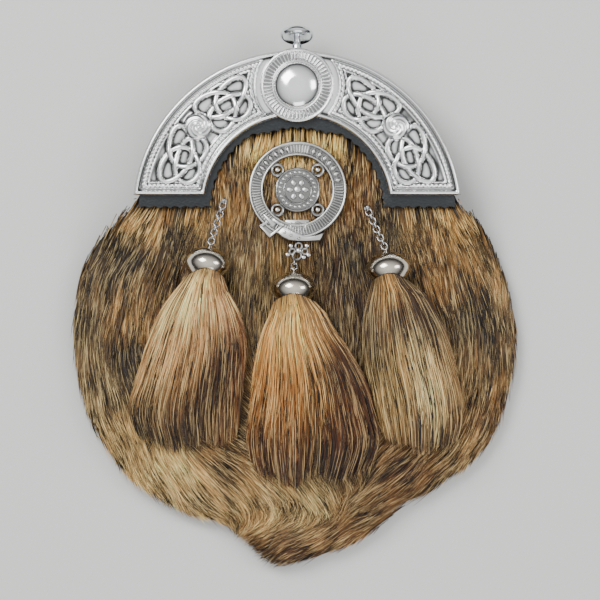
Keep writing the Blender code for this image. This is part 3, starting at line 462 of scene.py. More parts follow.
# Colour of the coat: x, y, red, green, blue as they look.
COAT_COLOURS = (
    (0.0, 88.0, 0.88, 0.71, 0.42),
    (-22.0, 78.0, 0.84, 0.66, 0.38),
    (22.0, 78.0, 0.84, 0.66, 0.38),
    (-29.0, 62.0, 0.42, 0.29, 0.15),
    (31.0, 62.0, 0.50, 0.34, 0.17),
    (-30.0, 48.0, 0.62, 0.45, 0.24),
    (30.0, 40.0, 0.50, 0.33, 0.16),
    (-22.0, 32.0, 0.40, 0.30, 0.18),
    (-12.0, 24.0, 0.56, 0.43, 0.25),
    (-30.0, 12.0, 0.46, 0.36, 0.22),
    (14.0, 26.0, 0.46, 0.31, 0.16),
    (24.0, 20.0, 0.28, 0.18, 0.09),
    (22.0, 0.0, 0.34, 0.22, 0.11),
    (44.0, 40.0, 0.44, 0.31, 0.15),
    (56.0, 36.0, 0.52, 0.37, 0.18),
    (74.0, 40.0, 0.68, 0.51, 0.28),
    (84.0, 24.0, 0.56, 0.41, 0.22),
    (72.0, 16.0, 0.55, 0.38, 0.19),
    (98.0, 16.0, 0.56, 0.43, 0.27),
    (106.0, -10.0, 0.50, 0.39, 0.26),
    (92.0, -8.0, 0.30, 0.21, 0.12),
    (100.0, -32.0, 0.46, 0.34, 0.20),
    (92.0, -46.0, 0.60, 0.44, 0.25),
    (98.0, -62.0, 0.52, 0.36, 0.21),
    (86.0, -80.0, 0.66, 0.52, 0.34),
    (72.0, -92.0, 0.50, 0.34, 0.19),
    (56.0, -88.0, 0.44, 0.28, 0.15),
    (48.0, -106.0, 0.52, 0.37, 0.22),
    (30.0, -98.0, 0.55, 0.42, 0.26),
    (6.0, -104.0, 0.72, 0.60, 0.40),
    (-8.0, -108.0, 0.70, 0.57, 0.38),
    (26.0, -118.0, 0.52, 0.35, 0.19),
    (0.0, -126.0, 0.48, 0.31, 0.17),
    (-14.0, -130.0, 0.38, 0.25, 0.15),
    (-30.0, -104.0, 0.62, 0.49, 0.31),
    (-52.0, -100.0, 0.66, 0.54, 0.36),
    (-36.0, -76.0, 0.56, 0.42, 0.26),
    (-66.0, -84.0, 0.68, 0.56, 0.37),
    (-88.0, -66.0, 0.62, 0.50, 0.32),
    (-102.0, -40.0, 0.46, 0.37, 0.25),
    (-108.0, -14.0, 0.42, 0.34, 0.23),
    (-84.0, -10.0, 0.64, 0.46, 0.25),
    (-82.0, -28.0, 0.30, 0.22, 0.13),
    (-72.0, -40.0, 0.34, 0.25, 0.14),
    (-94.0, 20.0, 0.36, 0.28, 0.18),
    (-86.0, 24.0, 0.26, 0.19, 0.12),
    (-62.0, 32.0, 0.25, 0.17, 0.09),
    (-72.0, 36.0, 0.76, 0.57, 0.32),
    (-50.0, 38.0, 0.72, 0.54, 0.30),
    (-84.0, 42.0, 0.68, 0.52, 0.30),
    (-62.0, 8.0, 0.46, 0.33, 0.19),
)

# Colour of each tassel: share of the way down, share across from left to right, then as above.
# The left and centre tassels are darker toward their right sides: painted shade from light on the
# left.
TASSEL_COLOURS_AND_SHADE = {
    "left": (
        (0.05, 0.5, 0.84, 0.68, 0.44),
        (0.25, 0.3, 0.86, 0.71, 0.50),
        (0.25, 0.75, 0.76, 0.58, 0.40),
        (0.45, 0.2, 0.72, 0.56, 0.40),
        (0.45, 0.55, 0.70, 0.53, 0.36),
        (0.50, 0.80, 0.34, 0.22, 0.13),
        (0.52, 0.97, 0.52, 0.30, 0.16),
        (0.65, 0.15, 0.68, 0.54, 0.38),
        (0.65, 0.45, 0.62, 0.46, 0.30),
        (0.70, 0.75, 0.30, 0.19, 0.11),
        (0.80, 0.2, 0.50, 0.38, 0.25),
        (0.82, 0.6, 0.28, 0.18, 0.10),
        (0.85, 0.9, 0.48, 0.33, 0.20),
        (0.95, 0.1, 0.24, 0.17, 0.10),
        (0.96, 0.5, 0.30, 0.20, 0.12),
    ),
    "centre": (
        (0.05, 0.5, 0.84, 0.64, 0.34),
        (0.20, 0.3, 0.88, 0.70, 0.42),
        (0.22, 0.7, 0.74, 0.55, 0.32),
        (0.40, 0.2, 0.74, 0.52, 0.28),
        (0.42, 0.5, 0.76, 0.55, 0.31),
        (0.45, 0.8, 0.32, 0.18, 0.09),
        (0.60, 0.25, 0.62, 0.40, 0.19),
        (0.60, 0.55, 0.62, 0.43, 0.23),
        (0.60, 0.9, 0.40, 0.22, 0.10),
        (0.75, 0.3, 0.52, 0.32, 0.15),
        (0.78, 0.7, 0.42, 0.24, 0.12),
        (0.92, 0.2, 0.34, 0.20, 0.11),
        (0.92, 0.6, 0.22, 0.13, 0.07),
        (0.95, 0.9, 0.30, 0.17, 0.09),
    ),
    "right": (
        (0.05, 0.5, 0.80, 0.58, 0.30),
        (0.18, 0.3, 0.62, 0.44, 0.22),
        (0.20, 0.7, 0.38, 0.25, 0.13),
        (0.32, 0.4, 0.22, 0.14, 0.08),
        (0.34, 0.8, 0.22, 0.14, 0.08),
        (0.36, 0.1, 0.34, 0.25, 0.15),
        (0.52, 0.15, 0.40, 0.32, 0.20),
        (0.50, 0.4, 0.70, 0.57, 0.38),
        (0.50, 0.7, 0.82, 0.70, 0.52),
        (0.52, 0.95, 0.52, 0.38, 0.24),
        (0.68, 0.2, 0.56, 0.46, 0.30),
        (0.68, 0.6, 0.84, 0.73, 0.56),
        (0.85, 0.3, 0.60, 0.48, 0.31),
        (0.85, 0.7, 0.76, 0.64, 0.46),
        (0.96, 0.4, 0.34, 0.20, 0.11),
        (0.96, 0.8, 0.32, 0.22, 0.14),
    ),
}

_cantle_low, _cantle_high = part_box("cantle")
SHIFT_X = (_cantle_low.x + _cantle_high.x) / 2 / MM
SHIFT_Y = _cantle_low.y / MM - ARCH_FOOT_Y


def in_frame(points):
    """Design millimetres to metres in the frame."""
    return (np.asarray(points, float) + (SHIFT_X, SHIFT_Y, 0.0)) * MM


def ease(value, low, high):
    t = np.clip((np.asarray(value, float) - low) / (high - low), 0.0, 1.0)
    return t * t * (3.0 - 2.0 * t)


def mix(a, b, share):
    return a + (b - a) * share


def columns_at(table, key):
    """The columns of a table at these keys, on smooth curves through its rows."""
    rows = np.array(table, float)
    key = np.clip(np.asarray(key, float), rows[0, 0], rows[-1, 0])
    i = np.clip(np.searchsorted(rows[:, 0], key, side="right") - 1, 0, len(rows) - 2)
    before, low = rows[np.maximum(i - 1, 0)], rows[i]
    high, after = rows[i + 1], rows[np.minimum(i + 2, len(rows) - 1)]
    span = (high[..., :1] - low[..., :1])
    t = (key[..., None] - low[..., :1]) / span
    m0 = (high - before) / (high[..., :1] - before[..., :1]) * span
    m1 = (after - low) / (after[..., :1] - low[..., :1]) * span
    value = (2 * t**3 - 3 * t**2 + 1) * low + (t**3 - 2 * t**2 + t) * m0
    value += (3 * t**2 - 2 * t**3) * high + (t**3 - t**2) * m1
    return value[..., 1:]


def turn_of(x, y):
    return np.degrees(np.arctan2(x, -(y - HUB_Y)))


def arch_reach(turn, radius):
    angle = np.radians(turn)
    rise = ARCH_CENTRE_Y - HUB_Y
    along = -rise * np.cos(angle)
    return along + np.sqrt(along * along - rise * rise + radius * radius)


def pouch_reach(turn):
    found = columns_at(POUCH_OUTLINE, np.abs(turn))[..., 0]
    return np.where(np.abs(turn) > POUCH_TURN, arch_reach(turn, POUCH_R), found)


def fur_reach(turn):
    found = columns_at(FUR_OUTLINE, turn)[..., 0]
    return np.where(np.abs(turn) > POUCH_TURN, arch_reach(turn, ARCH_R), found)


def rim_z(turn):
    return mix(RIM_Z, ARCH_RIM_Z, ease(np.abs(turn), 100.0, POUCH_TURN))


def dome_z(x, y):
    turn = turn_of(x, y)
    share = np.minimum(np.hypot(x, y - HUB_Y) / pouch_reach(turn), 1.0)
    low = rim_z(turn)
    return low + (CROWN_Z - low) * (1.0 - share**2.6) * mix(1.0, 0.3, ease(y, 5.0, 60.0))


def back_z(x, y):
    share = np.hypot(x, y - HUB_Y) / pouch_reach(turn_of(x, y))
    upper = ease(y, 0.0, 30.0)
    turned = BACK_TURNUP * ease(share, 0.7, 1.0)
    return BACK_LIFT * (1.0 - (1.0 - upper) * (1.0 - turned))


def facing_edge(angle):
    return FACING_R - FACING_DIP * (1.0 - ease(np.abs(angle - 90.0), 18.0, 34.0))


def arch_gap(x, y):
    angle = np.degrees(np.arctan2(y - INNER_CENTRE_Y, x))
    above = np.maximum(facing_edge(angle) - np.hypot(x, y - INNER_CENTRE_Y), 0.0)
    aside = np.maximum(np.maximum(FACING_R - np.abs(x), np.abs(x) - ARCH_R), 0.0)
    return np.where(y > FACING_FOOT_Y, above, np.hypot(aside, FACING_FOOT_Y - y))


def badge_seat_z(y):
    return BADGE_Z - 1.6 - math.tan(math.radians(BADGE_TILT)) * (y - BADGE_Y)


def bell_press(x, y):
    away = np.min([np.hypot(x - bell[1], y - bell[2]) for bell in BELLS], axis=0)
    return np.exp(-((away / BELL_SINK_R) ** 2) * 1.6)


def fur_z(x, y):
    share = np.minimum(np.hypot(x, y - HUB_Y) / fur_reach(turn_of(x, y)), 1.0)
    full = FUR_EDGE_Z + (FUR_CROWN_Z - FUR_EDGE_Z) * (1.0 - share**3.2) ** 0.8
    z = mix(FUR_FRONT_Z, full, ease(arch_gap(x, y), 3.0, FUR_RISE))
    z = z - BELL_SINK * bell_press(x, y)
    away = np.hypot(x - BADGE_X, y - BADGE_Y)
    return np.minimum(z, badge_seat_z(y) + 0.6 * np.maximum(away - BADGE_R - 3.0, 0.0))


def hide_z(x, y):
    turn = turn_of(x, y)
    past = np.hypot(x, y - HUB_Y) - pouch_reach(turn) - FUR_OVERHANG
    over = dome_z(x, y) + HIDE_CLEAR
    span = np.maximum(fur_reach(turn) - pouch_reach(turn) - FUR_OVERHANG, 1.0)
    return mix(over, FUR_EDGE_UNDER_Z, np.clip(past / span, 0.0, 1.0))


def lattice_value(ix, iy, seed):
    """A repeatable number from 0 to 1 for each whole pair."""
    mixed = (ix.astype(np.int64) * 374761393 + iy.astype(np.int64) * 668265263 + seed * 69069)
    mixed = (mixed ^ (mixed >> 13)) * 1274126177
    return ((mixed ^ (mixed >> 16)) & 0xFFFF) / 65535.0


def noise(x, y, size, seed):
    """Smooth noise from -1 to 1 with patches of about this size."""
    u, v = np.asarray(x) / size, np.asarray(y) / size
    iu, iv = np.floor(u), np.floor(v)
    fu, fv = ease(u - iu, 0.0, 1.0), ease(v - iv, 0.0, 1.0)
    low = mix(lattice_value(iu, iv, seed), lattice_value(iu + 1, iv, seed), fu)
    high = mix(lattice_value(iu, iv + 1, seed), lattice_value(iu + 1, iv + 1, seed), fu)
    return 2.0 * mix(low, high, fv) - 1.0


def linear(colour):
    """A colour as it looks to the values that Blender works in."""
    colour = np.clip(np.asarray(colour, float), 0.0, 1.0)
    return np.where(colour <= 0.04045, colour / 12.92, ((colour + 0.055) / 1.055) ** 2.4)


def spread(table, x, y, soft):
    """Table rows (x, y, values) blended by nearness."""
    rows = np.array(table, float)
    total = np.zeros(np.shape(x) + (rows.shape[1] - 2,))
    weights = np.zeros(np.shape(x))
    for row in rows:
        weight = 1.0 / ((x - row[0]) ** 2 + (y - row[1]) ** 2 + soft**2) ** 2.0
        weights += weight
        total += weight[..., None] * row[2:]
    return total / weights[..., None]


def new_material(name, colour, metallic=0.0, roughness=0.5, specular=0.5):
    """A Principled material and its shader node."""
    made = bpy.data.materials.new(name)
    made.use_nodes = True
    shader = made.node_tree.nodes["Principled BSDF"]
    shader.inputs["Base Color"].default_value = (*linear(colour), 1.0)
    shader.inputs["Metallic"].default_value = metallic
    shader.inputs["Roughness"].default_value = roughness
    shader.inputs["Specular IOR Level"].default_value = specular
    return made, shader


def add_node(made, kind, **values):
    node = made.node_tree.nodes.new(kind)
    for key, value in values.items():
        if key in node.inputs:
            node.inputs[key].default_value = value
        else:
            setattr(node, key, value)
    return node


def join(made, start, end):
    made.node_tree.links.new(start, end)


def hair_material(name, roughness=0.5):
    """Hair whose colour runs along each strand."""
    made, shader = new_material(name, (0.5, 0.4, 0.3), 0.0, roughness, HAIR_SPECULAR)
    tone = add_node(made, "ShaderNodeAttribute", attribute_name="tone")
    join(made, tone.outputs["Color"], shader.inputs["Base Color"])
    return made


def grained(made, shader, size, depth, vary=0.0):
    """A fine pebbled grain over the whole piece."""
    where = add_node(made, "ShaderNodeTexCoord")
    cells = add_node(made, "ShaderNodeTexVoronoi", Scale=1.0 / size)
    join(made, where.outputs["Object"], cells.inputs["Vector"])
    bump = add_node(made, "ShaderNodeBump", Strength=depth, Distance=size * 0.3)
    join(made, cells.outputs["Distance"], bump.inputs["Height"])
    join(made, bump.outputs["Normal"], shader.inputs["Normal"])
    if vary:
        cloud = add_node(made, "ShaderNodeTexNoise", Scale=60.0, Detail=3.0)
        join(made, where.outputs["Object"], cloud.inputs["Vector"])
        ramp = add_node(made, "ShaderNodeMapRange")
        ramp.inputs["To Min"].default_value = shader.inputs["Roughness"].default_value - vary
        ramp.inputs["To Max"].default_value = shader.inputs["Roughness"].default_value + vary
        join(made, cloud.outputs["Fac"], ramp.inputs["Value"])
        join(made, ramp.outputs["Result"], shader.inputs["Roughness"])


def leather_material(name, colour, size=0.0009, depth=0.35):
    made, shader = new_material(name, colour, 0.0, LEATHER_ROUGH, LEATHER_SPECULAR)
    grained(made, shader, size, depth, LEATHER_UNEVEN)
    return made


def metal_material(name, colour, roughness, tarnish_and_shade=None):
    """Metal, darker in its recesses where the piece has a tone: patina and painted shade."""
    made, shader = new_material(name, colour, 1.0, roughness)
    where = add_node(made, "ShaderNodeTexCoord")
    cloud = add_node(made, "ShaderNodeTexNoise", Scale=220.0, Detail=2.0)
    join(made, where.outputs["Object"], cloud.inputs["Vector"])
    ramp = add_node(made, "ShaderNodeMapRange")
    ramp.inputs["To Min"].default_value = roughness * METAL_UNEVEN[0]
    ramp.inputs["To Max"].default_value = roughness * METAL_UNEVEN[1]
    join(made, cloud.outputs["Fac"], ramp.inputs["Value"])
    join(made, ramp.outputs["Result"], shader.inputs["Roughness"])
    # The tone mixes in the recess colour: patina and painted shade.
    if tarnish_and_shade:
        tone = add_node(made, "ShaderNodeAttribute", attribute_name="tone")
        blend = add_node(made, "ShaderNodeMix", data_type="RGBA")
        blend.inputs["A"].default_value = (*linear(tarnish_and_shade), 1.0)
        blend.inputs["B"].default_value = (*linear(colour), 1.0)
        join(made, tone.outputs["Fac"], blend.inputs["Factor"])
        join(made, blend.outputs["Result"], shader.inputs["Base Color"])
    return made


def linked(mesh, made):
    """The mesh as an object in the scene, in this material."""
    mesh.materials.append(made)
    made_object = bpy.data.objects.new(mesh.name, mesh)
    bpy.context.scene.collection.objects.link(made_object)
    return made_object


def set_tone(mesh, tone):
    """Stores one tone a point: a number for each, or a colour for each."""
    tone = np.asarray(tone)
    values = np.ones((len(mesh.vertices), 4), np.float32)
    values[:, :3] = tone if tone.ndim == 2 else tone[..., None]
    layer = mesh.attributes.new("tone", "FLOAT_COLOR", "POINT")
    layer.data.foreach_set("color", values.ravel())


def mesh_from(name, points, faces, made, sizes=None, tone=None, uv=None, smooth=True):
    """An object from points in design millimetres; sizes gives the corners of each face."""
    mesh = bpy.data.meshes.new(name)
    points = in_frame(points).astype(np.float32)
    faces = np.asarray(faces)
    if sizes is None:
        sizes = np.full(len(faces), faces.shape[1])
    corners = faces.ravel().astype(np.int32)
    mesh.vertices.add(len(points))
    mesh.vertices.foreach_set("co", points.ravel())
    mesh.loops.add(len(corners))
    mesh.loops.foreach_set("vertex_index", corners)
    mesh.polygons.add(len(sizes))
    mesh.polygons.foreach_set("loop_start", np.concatenate([[0], np.cumsum(sizes)[:-1]]))
    mesh.update(calc_edges=True)
    if tone is not None:
        set_tone(mesh, tone)
    if uv is not None:
        layer = mesh.uv_layers.new(name="OFBake")
        layer.data.foreach_set("uv", np.asarray(uv, np.float32)[corners].ravel())
    if smooth:
        mesh.shade_smooth()
    return linked(mesh, made)


def object_of(name, bm, made, smooth=True, sharp=None):
    """An object from a bmesh in design millimetres."""
    bmesh.ops.recalc_face_normals(bm, faces=bm.faces)
    for vert in bm.verts:
        vert.co = Vector(in_frame(tuple(vert.co)))
    mesh = bpy.data.meshes.new(name)
    bm.to_mesh(mesh)
    bm.free()
    if smooth:
        mesh.shade_smooth()
    if sharp:
        mesh.set_sharp_from_angle(angle=math.radians(sharp))
    return linked(mesh, made)


def kept(piece, slot, *nodes):
    """The piece rides on the body and stands for these nodes; slot is not used."""
    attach(piece, "root")
    if nodes:
        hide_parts(*nodes)
    return piece


def turned(bm, profile, sides, matrix=None):
    """A closed turned shape added to bm: rows of height, radius from pole to pole."""
    rings = []
    for height, radius in profile:
        if radius < 1e-6:
            rings.append(bmesh.ops.create_vert(bm, co=(0, 0, height))["vert"])
            continue
        made = bmesh.ops.create_circle(bm, segments=sides, radius=radius)
        for vert in made["verts"]:
            vert.co.z = height
        rings.append(made["verts"])
    for a, b in zip(rings, rings[1:]):
        if len(a) == 1 or len(b) == 1:
            tip, rim = (a[0], b) if len(a) == 1 else (b[0], a)
            for i in range(len(rim)):
                bm.faces.new((tip, rim[i], rim[(i + 1) % len(rim)]))
            continue
        for i in range(sides):
            k = (i + 1) % sides
            bm.faces.new((a[i], a[k], b[k], b[i]))
    found = [vert for row in rings for vert in row]
    if matrix is not None:
        bmesh.ops.transform(bm, matrix=matrix, verts=found)
    return found


def ring(bm, radius, wire, steps, sides, stretch=0.0, matrix=None):
    """A round wire ring in the xy plane, pulled out along x by stretch at each end."""
    rows = []
    for i in range(steps):
        angle = math.tau * i / steps
        out = Vector((math.cos(angle), math.sin(angle), 0))
        middle = out * radius + Vector((math.copysign(stretch, out.x), 0, 0))
        made = bmesh.ops.create_circle(bm, segments=sides, radius=wire / 2)["verts"]
        for vert in made:
            vert.co = middle + out * vert.co.x + Vector((0, 0, 1)) * vert.co.y
        rows.append(made)
    for i in range(steps):
        a, b = rows[i], rows[(i + 1) % steps]
        for k in range(sides):
            m = (k + 1) % sides
            bm.faces.new((a[k], a[m], b[m], b[k]))
    found = [vert for row in rows for vert in row]
    if matrix is not None:
        bmesh.ops.transform(bm, matrix=matrix, verts=found)
    return found


def facing_matrix(at, along, up):
    """Local x along, local z as near to up as it goes."""
    along = Vector(along).normalized()
    side = Vector(up).cross(along).normalized()
    top = along.cross(side)
    turn = Matrix((along, side, top)).transposed().to_4x4()
    return Matrix.Translation(Vector(at)) @ turn


def slab(bm, outline, low, high, bevel=0.0, segments=2, matrix=None):
    """A flat closed shape with a rounded upper edge."""
    verts = [bmesh.ops.create_vert(bm, co=(x, y, low))["vert"][0] for x, y in outline]
    face = bm.faces.new(verts)
    made = bmesh.ops.extrude_face_region(bm, geom=[face], use_keep_orig=True)
    upper = [item for item in made["geom"] if isinstance(item, bmesh.types.BMVert)]
    bmesh.ops.translate(bm, vec=(0, 0, high - low), verts=upper)
    found = verts + upper
    if bevel:
        tops = set(upper)
        edges = [e for e in bm.edges if e.verts[0] in tops and e.verts[1] in tops]
        made = bmesh.ops.bevel(
            bm, geom=edges, offset=bevel, segments=segments, profile=0.5, affect="EDGES",
            material=-1,
        )
        found = list({v for v in found if v.is_valid} | set(made["verts"]))
    if matrix is not None:
        bmesh.ops.transform(bm, matrix=matrix, verts=found)
    return found


def strand_mesh(name, paths, wide, tones, tilt, made):
    """One ribbon a strand: paths (strand, level, 3), tones (strand, level, 3), wide (strand)."""
    count, levels = paths.shape[:2]
    order = np.lexsort((paths[:, 0, 0], np.round(paths[:, 0, 1] / 3.0)))
    paths, wide, tones, tilt = paths[order], wide[order], tones[order], tilt[order]
    along = np.gradient(paths, axis=1)
    side = np.cross(along, (0.0, 0.0, 1.0))
    side /= np.linalg.norm(side, axis=2, keepdims=True) + 1e-9
    normal = np.cross(side, along)
    normal /= np.linalg.norm(normal, axis=2, keepdims=True) + 1e-9
    side = side * np.cos(tilt)[:, None, None] + normal * np.sin(tilt)[:, None, None]
    shape = np.linspace(0.0, 1.0, levels)
    half = wide[:, None] * np.interp(shape, *STRAND_TAPER)
    left = paths - side * half[..., None] / 2
    right = paths + side * half[..., None] / 2
    per = 2 * levels - 1
    points = np.empty((count, per, 3))
    colours = np.empty((count, per, 3), np.float32)
    points[:, 0 : per - 1 : 2] = left[:, :-1]
    points[:, 1 : per - 1 : 2] = right[:, :-1]
    points[:, -1] = paths[:, -1]
    colours[:, 0 : per - 1 : 2] = tones[:, :-1]
    colours[:, 1 : per - 1 : 2] = tones[:, :-1]
    colours[:, -1] = tones[:, -1]
    quads = [(2 * i, 2 * i + 1, 2 * i + 3, 2 * i + 2) for i in range(levels - 2)]
    pattern = np.array([k for quad in quads for k in quad] + [per - 3, per - 2, per - 1])
    sizes = np.tile([4] * (levels - 2) + [3], count)
    corners = (np.arange(count)[:, None] * per + pattern).ravel()
    # Each strand has its own cell of the bake map, next to its neighbours on the coat.
    across = max(int(math.sqrt(count * 8)), 1)
    down = -(-count // across)
    spot = np.arange(count)
    u = (spot % across)[:, None] + np.where(np.arange(per) % 2 == 0, 0.2, 0.8)
    v = (spot // across)[:, None] + np.linspace(0.05, 0.95, per)
    uv = np.stack([u / across, v / down], axis=2).reshape(-1, 2)
    return mesh_from(
        name, points.reshape(-1, 3), corners, made, sizes=sizes,
        tone=colours.reshape(-1, 3), uv=uv,
    )


def on_coat(x, y):
    """Where hair has its roots."""
    turn = turn_of(x, y)
    inside = np.hypot(x, y - HUB_Y) < fur_reach(turn) - 1.0
    angle = np.degrees(np.arctan2(y - INNER_CENTRE_Y, x))
    under_arch = np.hypot(x, y - INNER_CENTRE_Y) < facing_edge(angle) + 3.0
    feet = (y < FACING_FOOT_Y + 4.0) & (np.abs(x) < ARCH_R - 2.0) & inside
    return np.where(y < FACING_FOOT_Y, inside, under_arch | feet)


def hair_cap(x, y):
    """Height that the hair stays under, below the facing and the badge."""
    cap = FACING_Z - 0.3 + 1.2 * arch_gap(x, y)
    away = np.hypot(x - BADGE_X, y - BADGE_Y)
    return np.minimum(cap, badge_seat_z(y) + 1.0 + 0.9 * np.maximum(away - BADGE_R, 0.0))


def flow_paths(x, y, long, steps):
    """Ways along the coat from each root: (root, step, 2)."""
    path = [np.stack([x, y], axis=1)]
    wander = noise(x, y, 9.0, 11) * 9.0 + noise(x, y, 3.5, 12) * 6.0
    for _ in range(steps):
        spot = path[-1]
        angle = np.radians(np.array(FLOW)[:, 2])
        table = np.column_stack([np.array(FLOW)[:, :2], np.sin(angle), -np.cos(angle)])
        way = spread(table, spot[:, 0], spot[:, 1], TABLE_BLUR)
        turn = np.radians(wander)
        way = np.stack(
            [
                way[:, 0] * np.cos(turn) - way[:, 1] * np.sin(turn),
                way[:, 0] * np.sin(turn) + way[:, 1] * np.cos(turn),
            ],
            axis=1,
        )
        way /= np.linalg.norm(way, axis=1, keepdims=True)
        path.append(spot + way * (long / steps)[:, None])
    return np.stack(path, axis=1)


def coat_roots(gap, rng):
    """Where the clumps of the coat have their roots."""
    grid_x, grid_y = np.meshgrid(np.arange(*COAT_X, gap), np.arange(*COAT_Y, gap))
    x = grid_x.ravel() + rng.uniform(-0.5, 0.5, grid_x.size) * gap
    y = grid_y.ravel() + rng.uniform(-0.5, 0.5, grid_x.size) * gap
    inside = on_coat(x, y)
    return x[inside], y[inside]


def share_to_edge(ways, ragged):
    """Share of each way up to where it passes the coat's outline by its own ragged amount."""
    steps = ways.shape[1] - 1
    away = np.hypot(ways[..., 0], ways[..., 1] - HUB_Y)
    out = away > fur_reach(turn_of(ways[..., 0], ways[..., 1])) + ragged[:, None]
    out &= ways[..., 1] < FACING_FOOT_Y + 3.0
    return np.where(out.any(axis=1), out.argmax(axis=1), steps) / steps


def places_along(ways, rows, share):
    """Places on the ways of these rows, at shares of their length."""
    steps = ways.shape[1] - 1
    at = share * steps
    low = np.minimum(at.astype(int), steps - 1)
    part = (at - low)[..., None]
    return ways[rows, low] * (1 - part) + ways[rows, low + 1] * part


def coat_strands(settings):
    """Paths, widths, tones and tilts of all the coat's hair."""
    rng = np.random.default_rng(7)
    gap = settings.clump_gap / MM * COARSER
    x, y = coat_roots(gap, rng)
    long = settings.hair_long / MM * (1.0 + 0.2 * noise(x, y, 14.0, 3))
    long = long * mix(0.55, 1.0, ease(arch_gap(x, y), 0.0, 30.0))
    ways = flow_paths(x, y, long, FLOW_STEPS)
    clumps, count = len(x), settings.clump_hairs
    clump = np.repeat(np.arange(clumps), count)
    total = len(clump)
    offset = rng.normal(0.0, 0.5, (total, 2)) * gap
    loose = rng.random(total) < LOOSE_HAIRS
    together = np.where(loose, rng.uniform(-0.9, 0.2, total), rng.uniform(0.3, 0.75, total))
    reached = rng.uniform(0.72, 1.0, total)
    ragged = rng.uniform(*RAGGED_BY, total) + np.repeat(rng.uniform(-1.2, 1.2, clumps), count)
    reached = np.minimum(reached, share_to_edge(ways[clump] + offset[:, None, :], ragged))
    share = np.linspace(0.0, 1.0, settings.coat_levels)
    flat = places_along(ways, clump[:, None], reached[:, None] * share[None, :])
    wander = rng.normal(0.0, 0.35, (total, 1, 2)) * (share[None, :, None] ** 2)
    drawn_in = 1 - together[:, None, None] * share[None, :, None]
    flat = flat + offset[:, None, :] * drawn_in + wander
    px, py = flat[..., 0], flat[..., 1]
    lift = np.repeat(rng.normal(0.0, 0.55, clumps), count) + rng.normal(0.0, 0.3, total)
    calm = (1.0 - bell_press(px, py) ** 2) * mix(0.4, 1.0, share[None, :])
    rise = TIP_RISE * share**1.3 - ROOT_SINK * (1 - share) ** 2
    z = fur_z(px, py) + rise[None, :] + lift[:, None] * calm
    z = np.maximum(np.minimum(z, hair_cap(px, py)), hide_z(px, py) + 0.6)
    paths = np.stack([px, py, z], axis=2)
    tones = coat_tones(flat, clump, clumps, count, share, rng)
    wide = settings.hair_wide / MM * rng.uniform(0.7, 1.25, total) * COARSER
    tilt = rng.uniform(-0.7, 0.7, total)
    keep = reached > SHORTEST_KEPT
    return paths[keep], wide[keep], tones[keep], tilt[keep]


def contrasted(colour, middle, power):
    """The colour with what is darker than the middle darkened, and the rest made paler."""
    return colour * (colour.mean(axis=-1, keepdims=True) / middle) ** power


def coat_tones(flat, clump, clumps, count, share, rng):
    """Colour along each strand: patches, streaks and a dark root."""
    middle = flat[:, len(share) // 2]
    blur = rng.normal(0.0, 2.2, middle.shape)
    spot = middle + blur * (0.6, 1.6)
    base = spread(COAT_COLOURS, spot[:, 0], spot[:, 1], TABLE_BLUR)
    base = contrasted(base, *COAT_CONTRAST)
    streak = np.repeat(rng.normal(0.0, 1.0, clumps), count)
    own = rng.normal(0.0, 1.0, len(clump))
    patch = noise(middle[:, 0], middle[:, 1] * 0.5, 5.0, 21)
    patch = patch + 0.6 * noise(middle[:, 0] * 1.3, middle[:, 1] * 0.6, 2.6, 22)
    bright = COAT_BRIGHT + 0.12 * streak + 0.36 * own + 0.36 * patch
    colour = base * np.clip(bright, 0.35, 1.7)[:, None]
    grey = colour.mean(axis=1, keepdims=True)
    colour = mix(colour, grey * (1.06, 1.0, 0.86), 0.06) * COAT_WARMTH
    dark = ((0.35 * streak + 0.8 * patch + own) < COAT_DARK_UNDER)[:, None]
    colour = np.where(dark, colour * COAT_DARK, colour)
    pale = ((0.3 * streak + own) > COAT_PALE_OVER)[:, None]
    colour = np.where(pale, mix(colour, COAT_PALE, COAT_PALE_SHARE), colour)
    fall = np.interp(share, *COAT_FALL)
    tones = colour[:, None, :] * fall[None, :, None]
    tips = (rng.random(len(clump)) < DARK_TIPS)[:, None, None]
    tips = tips & (share[None, :, None] > DARK_TIP_FROM)
    tones = np.where(tips, tones * DARK_TIP, tones)
    return linear(tones)


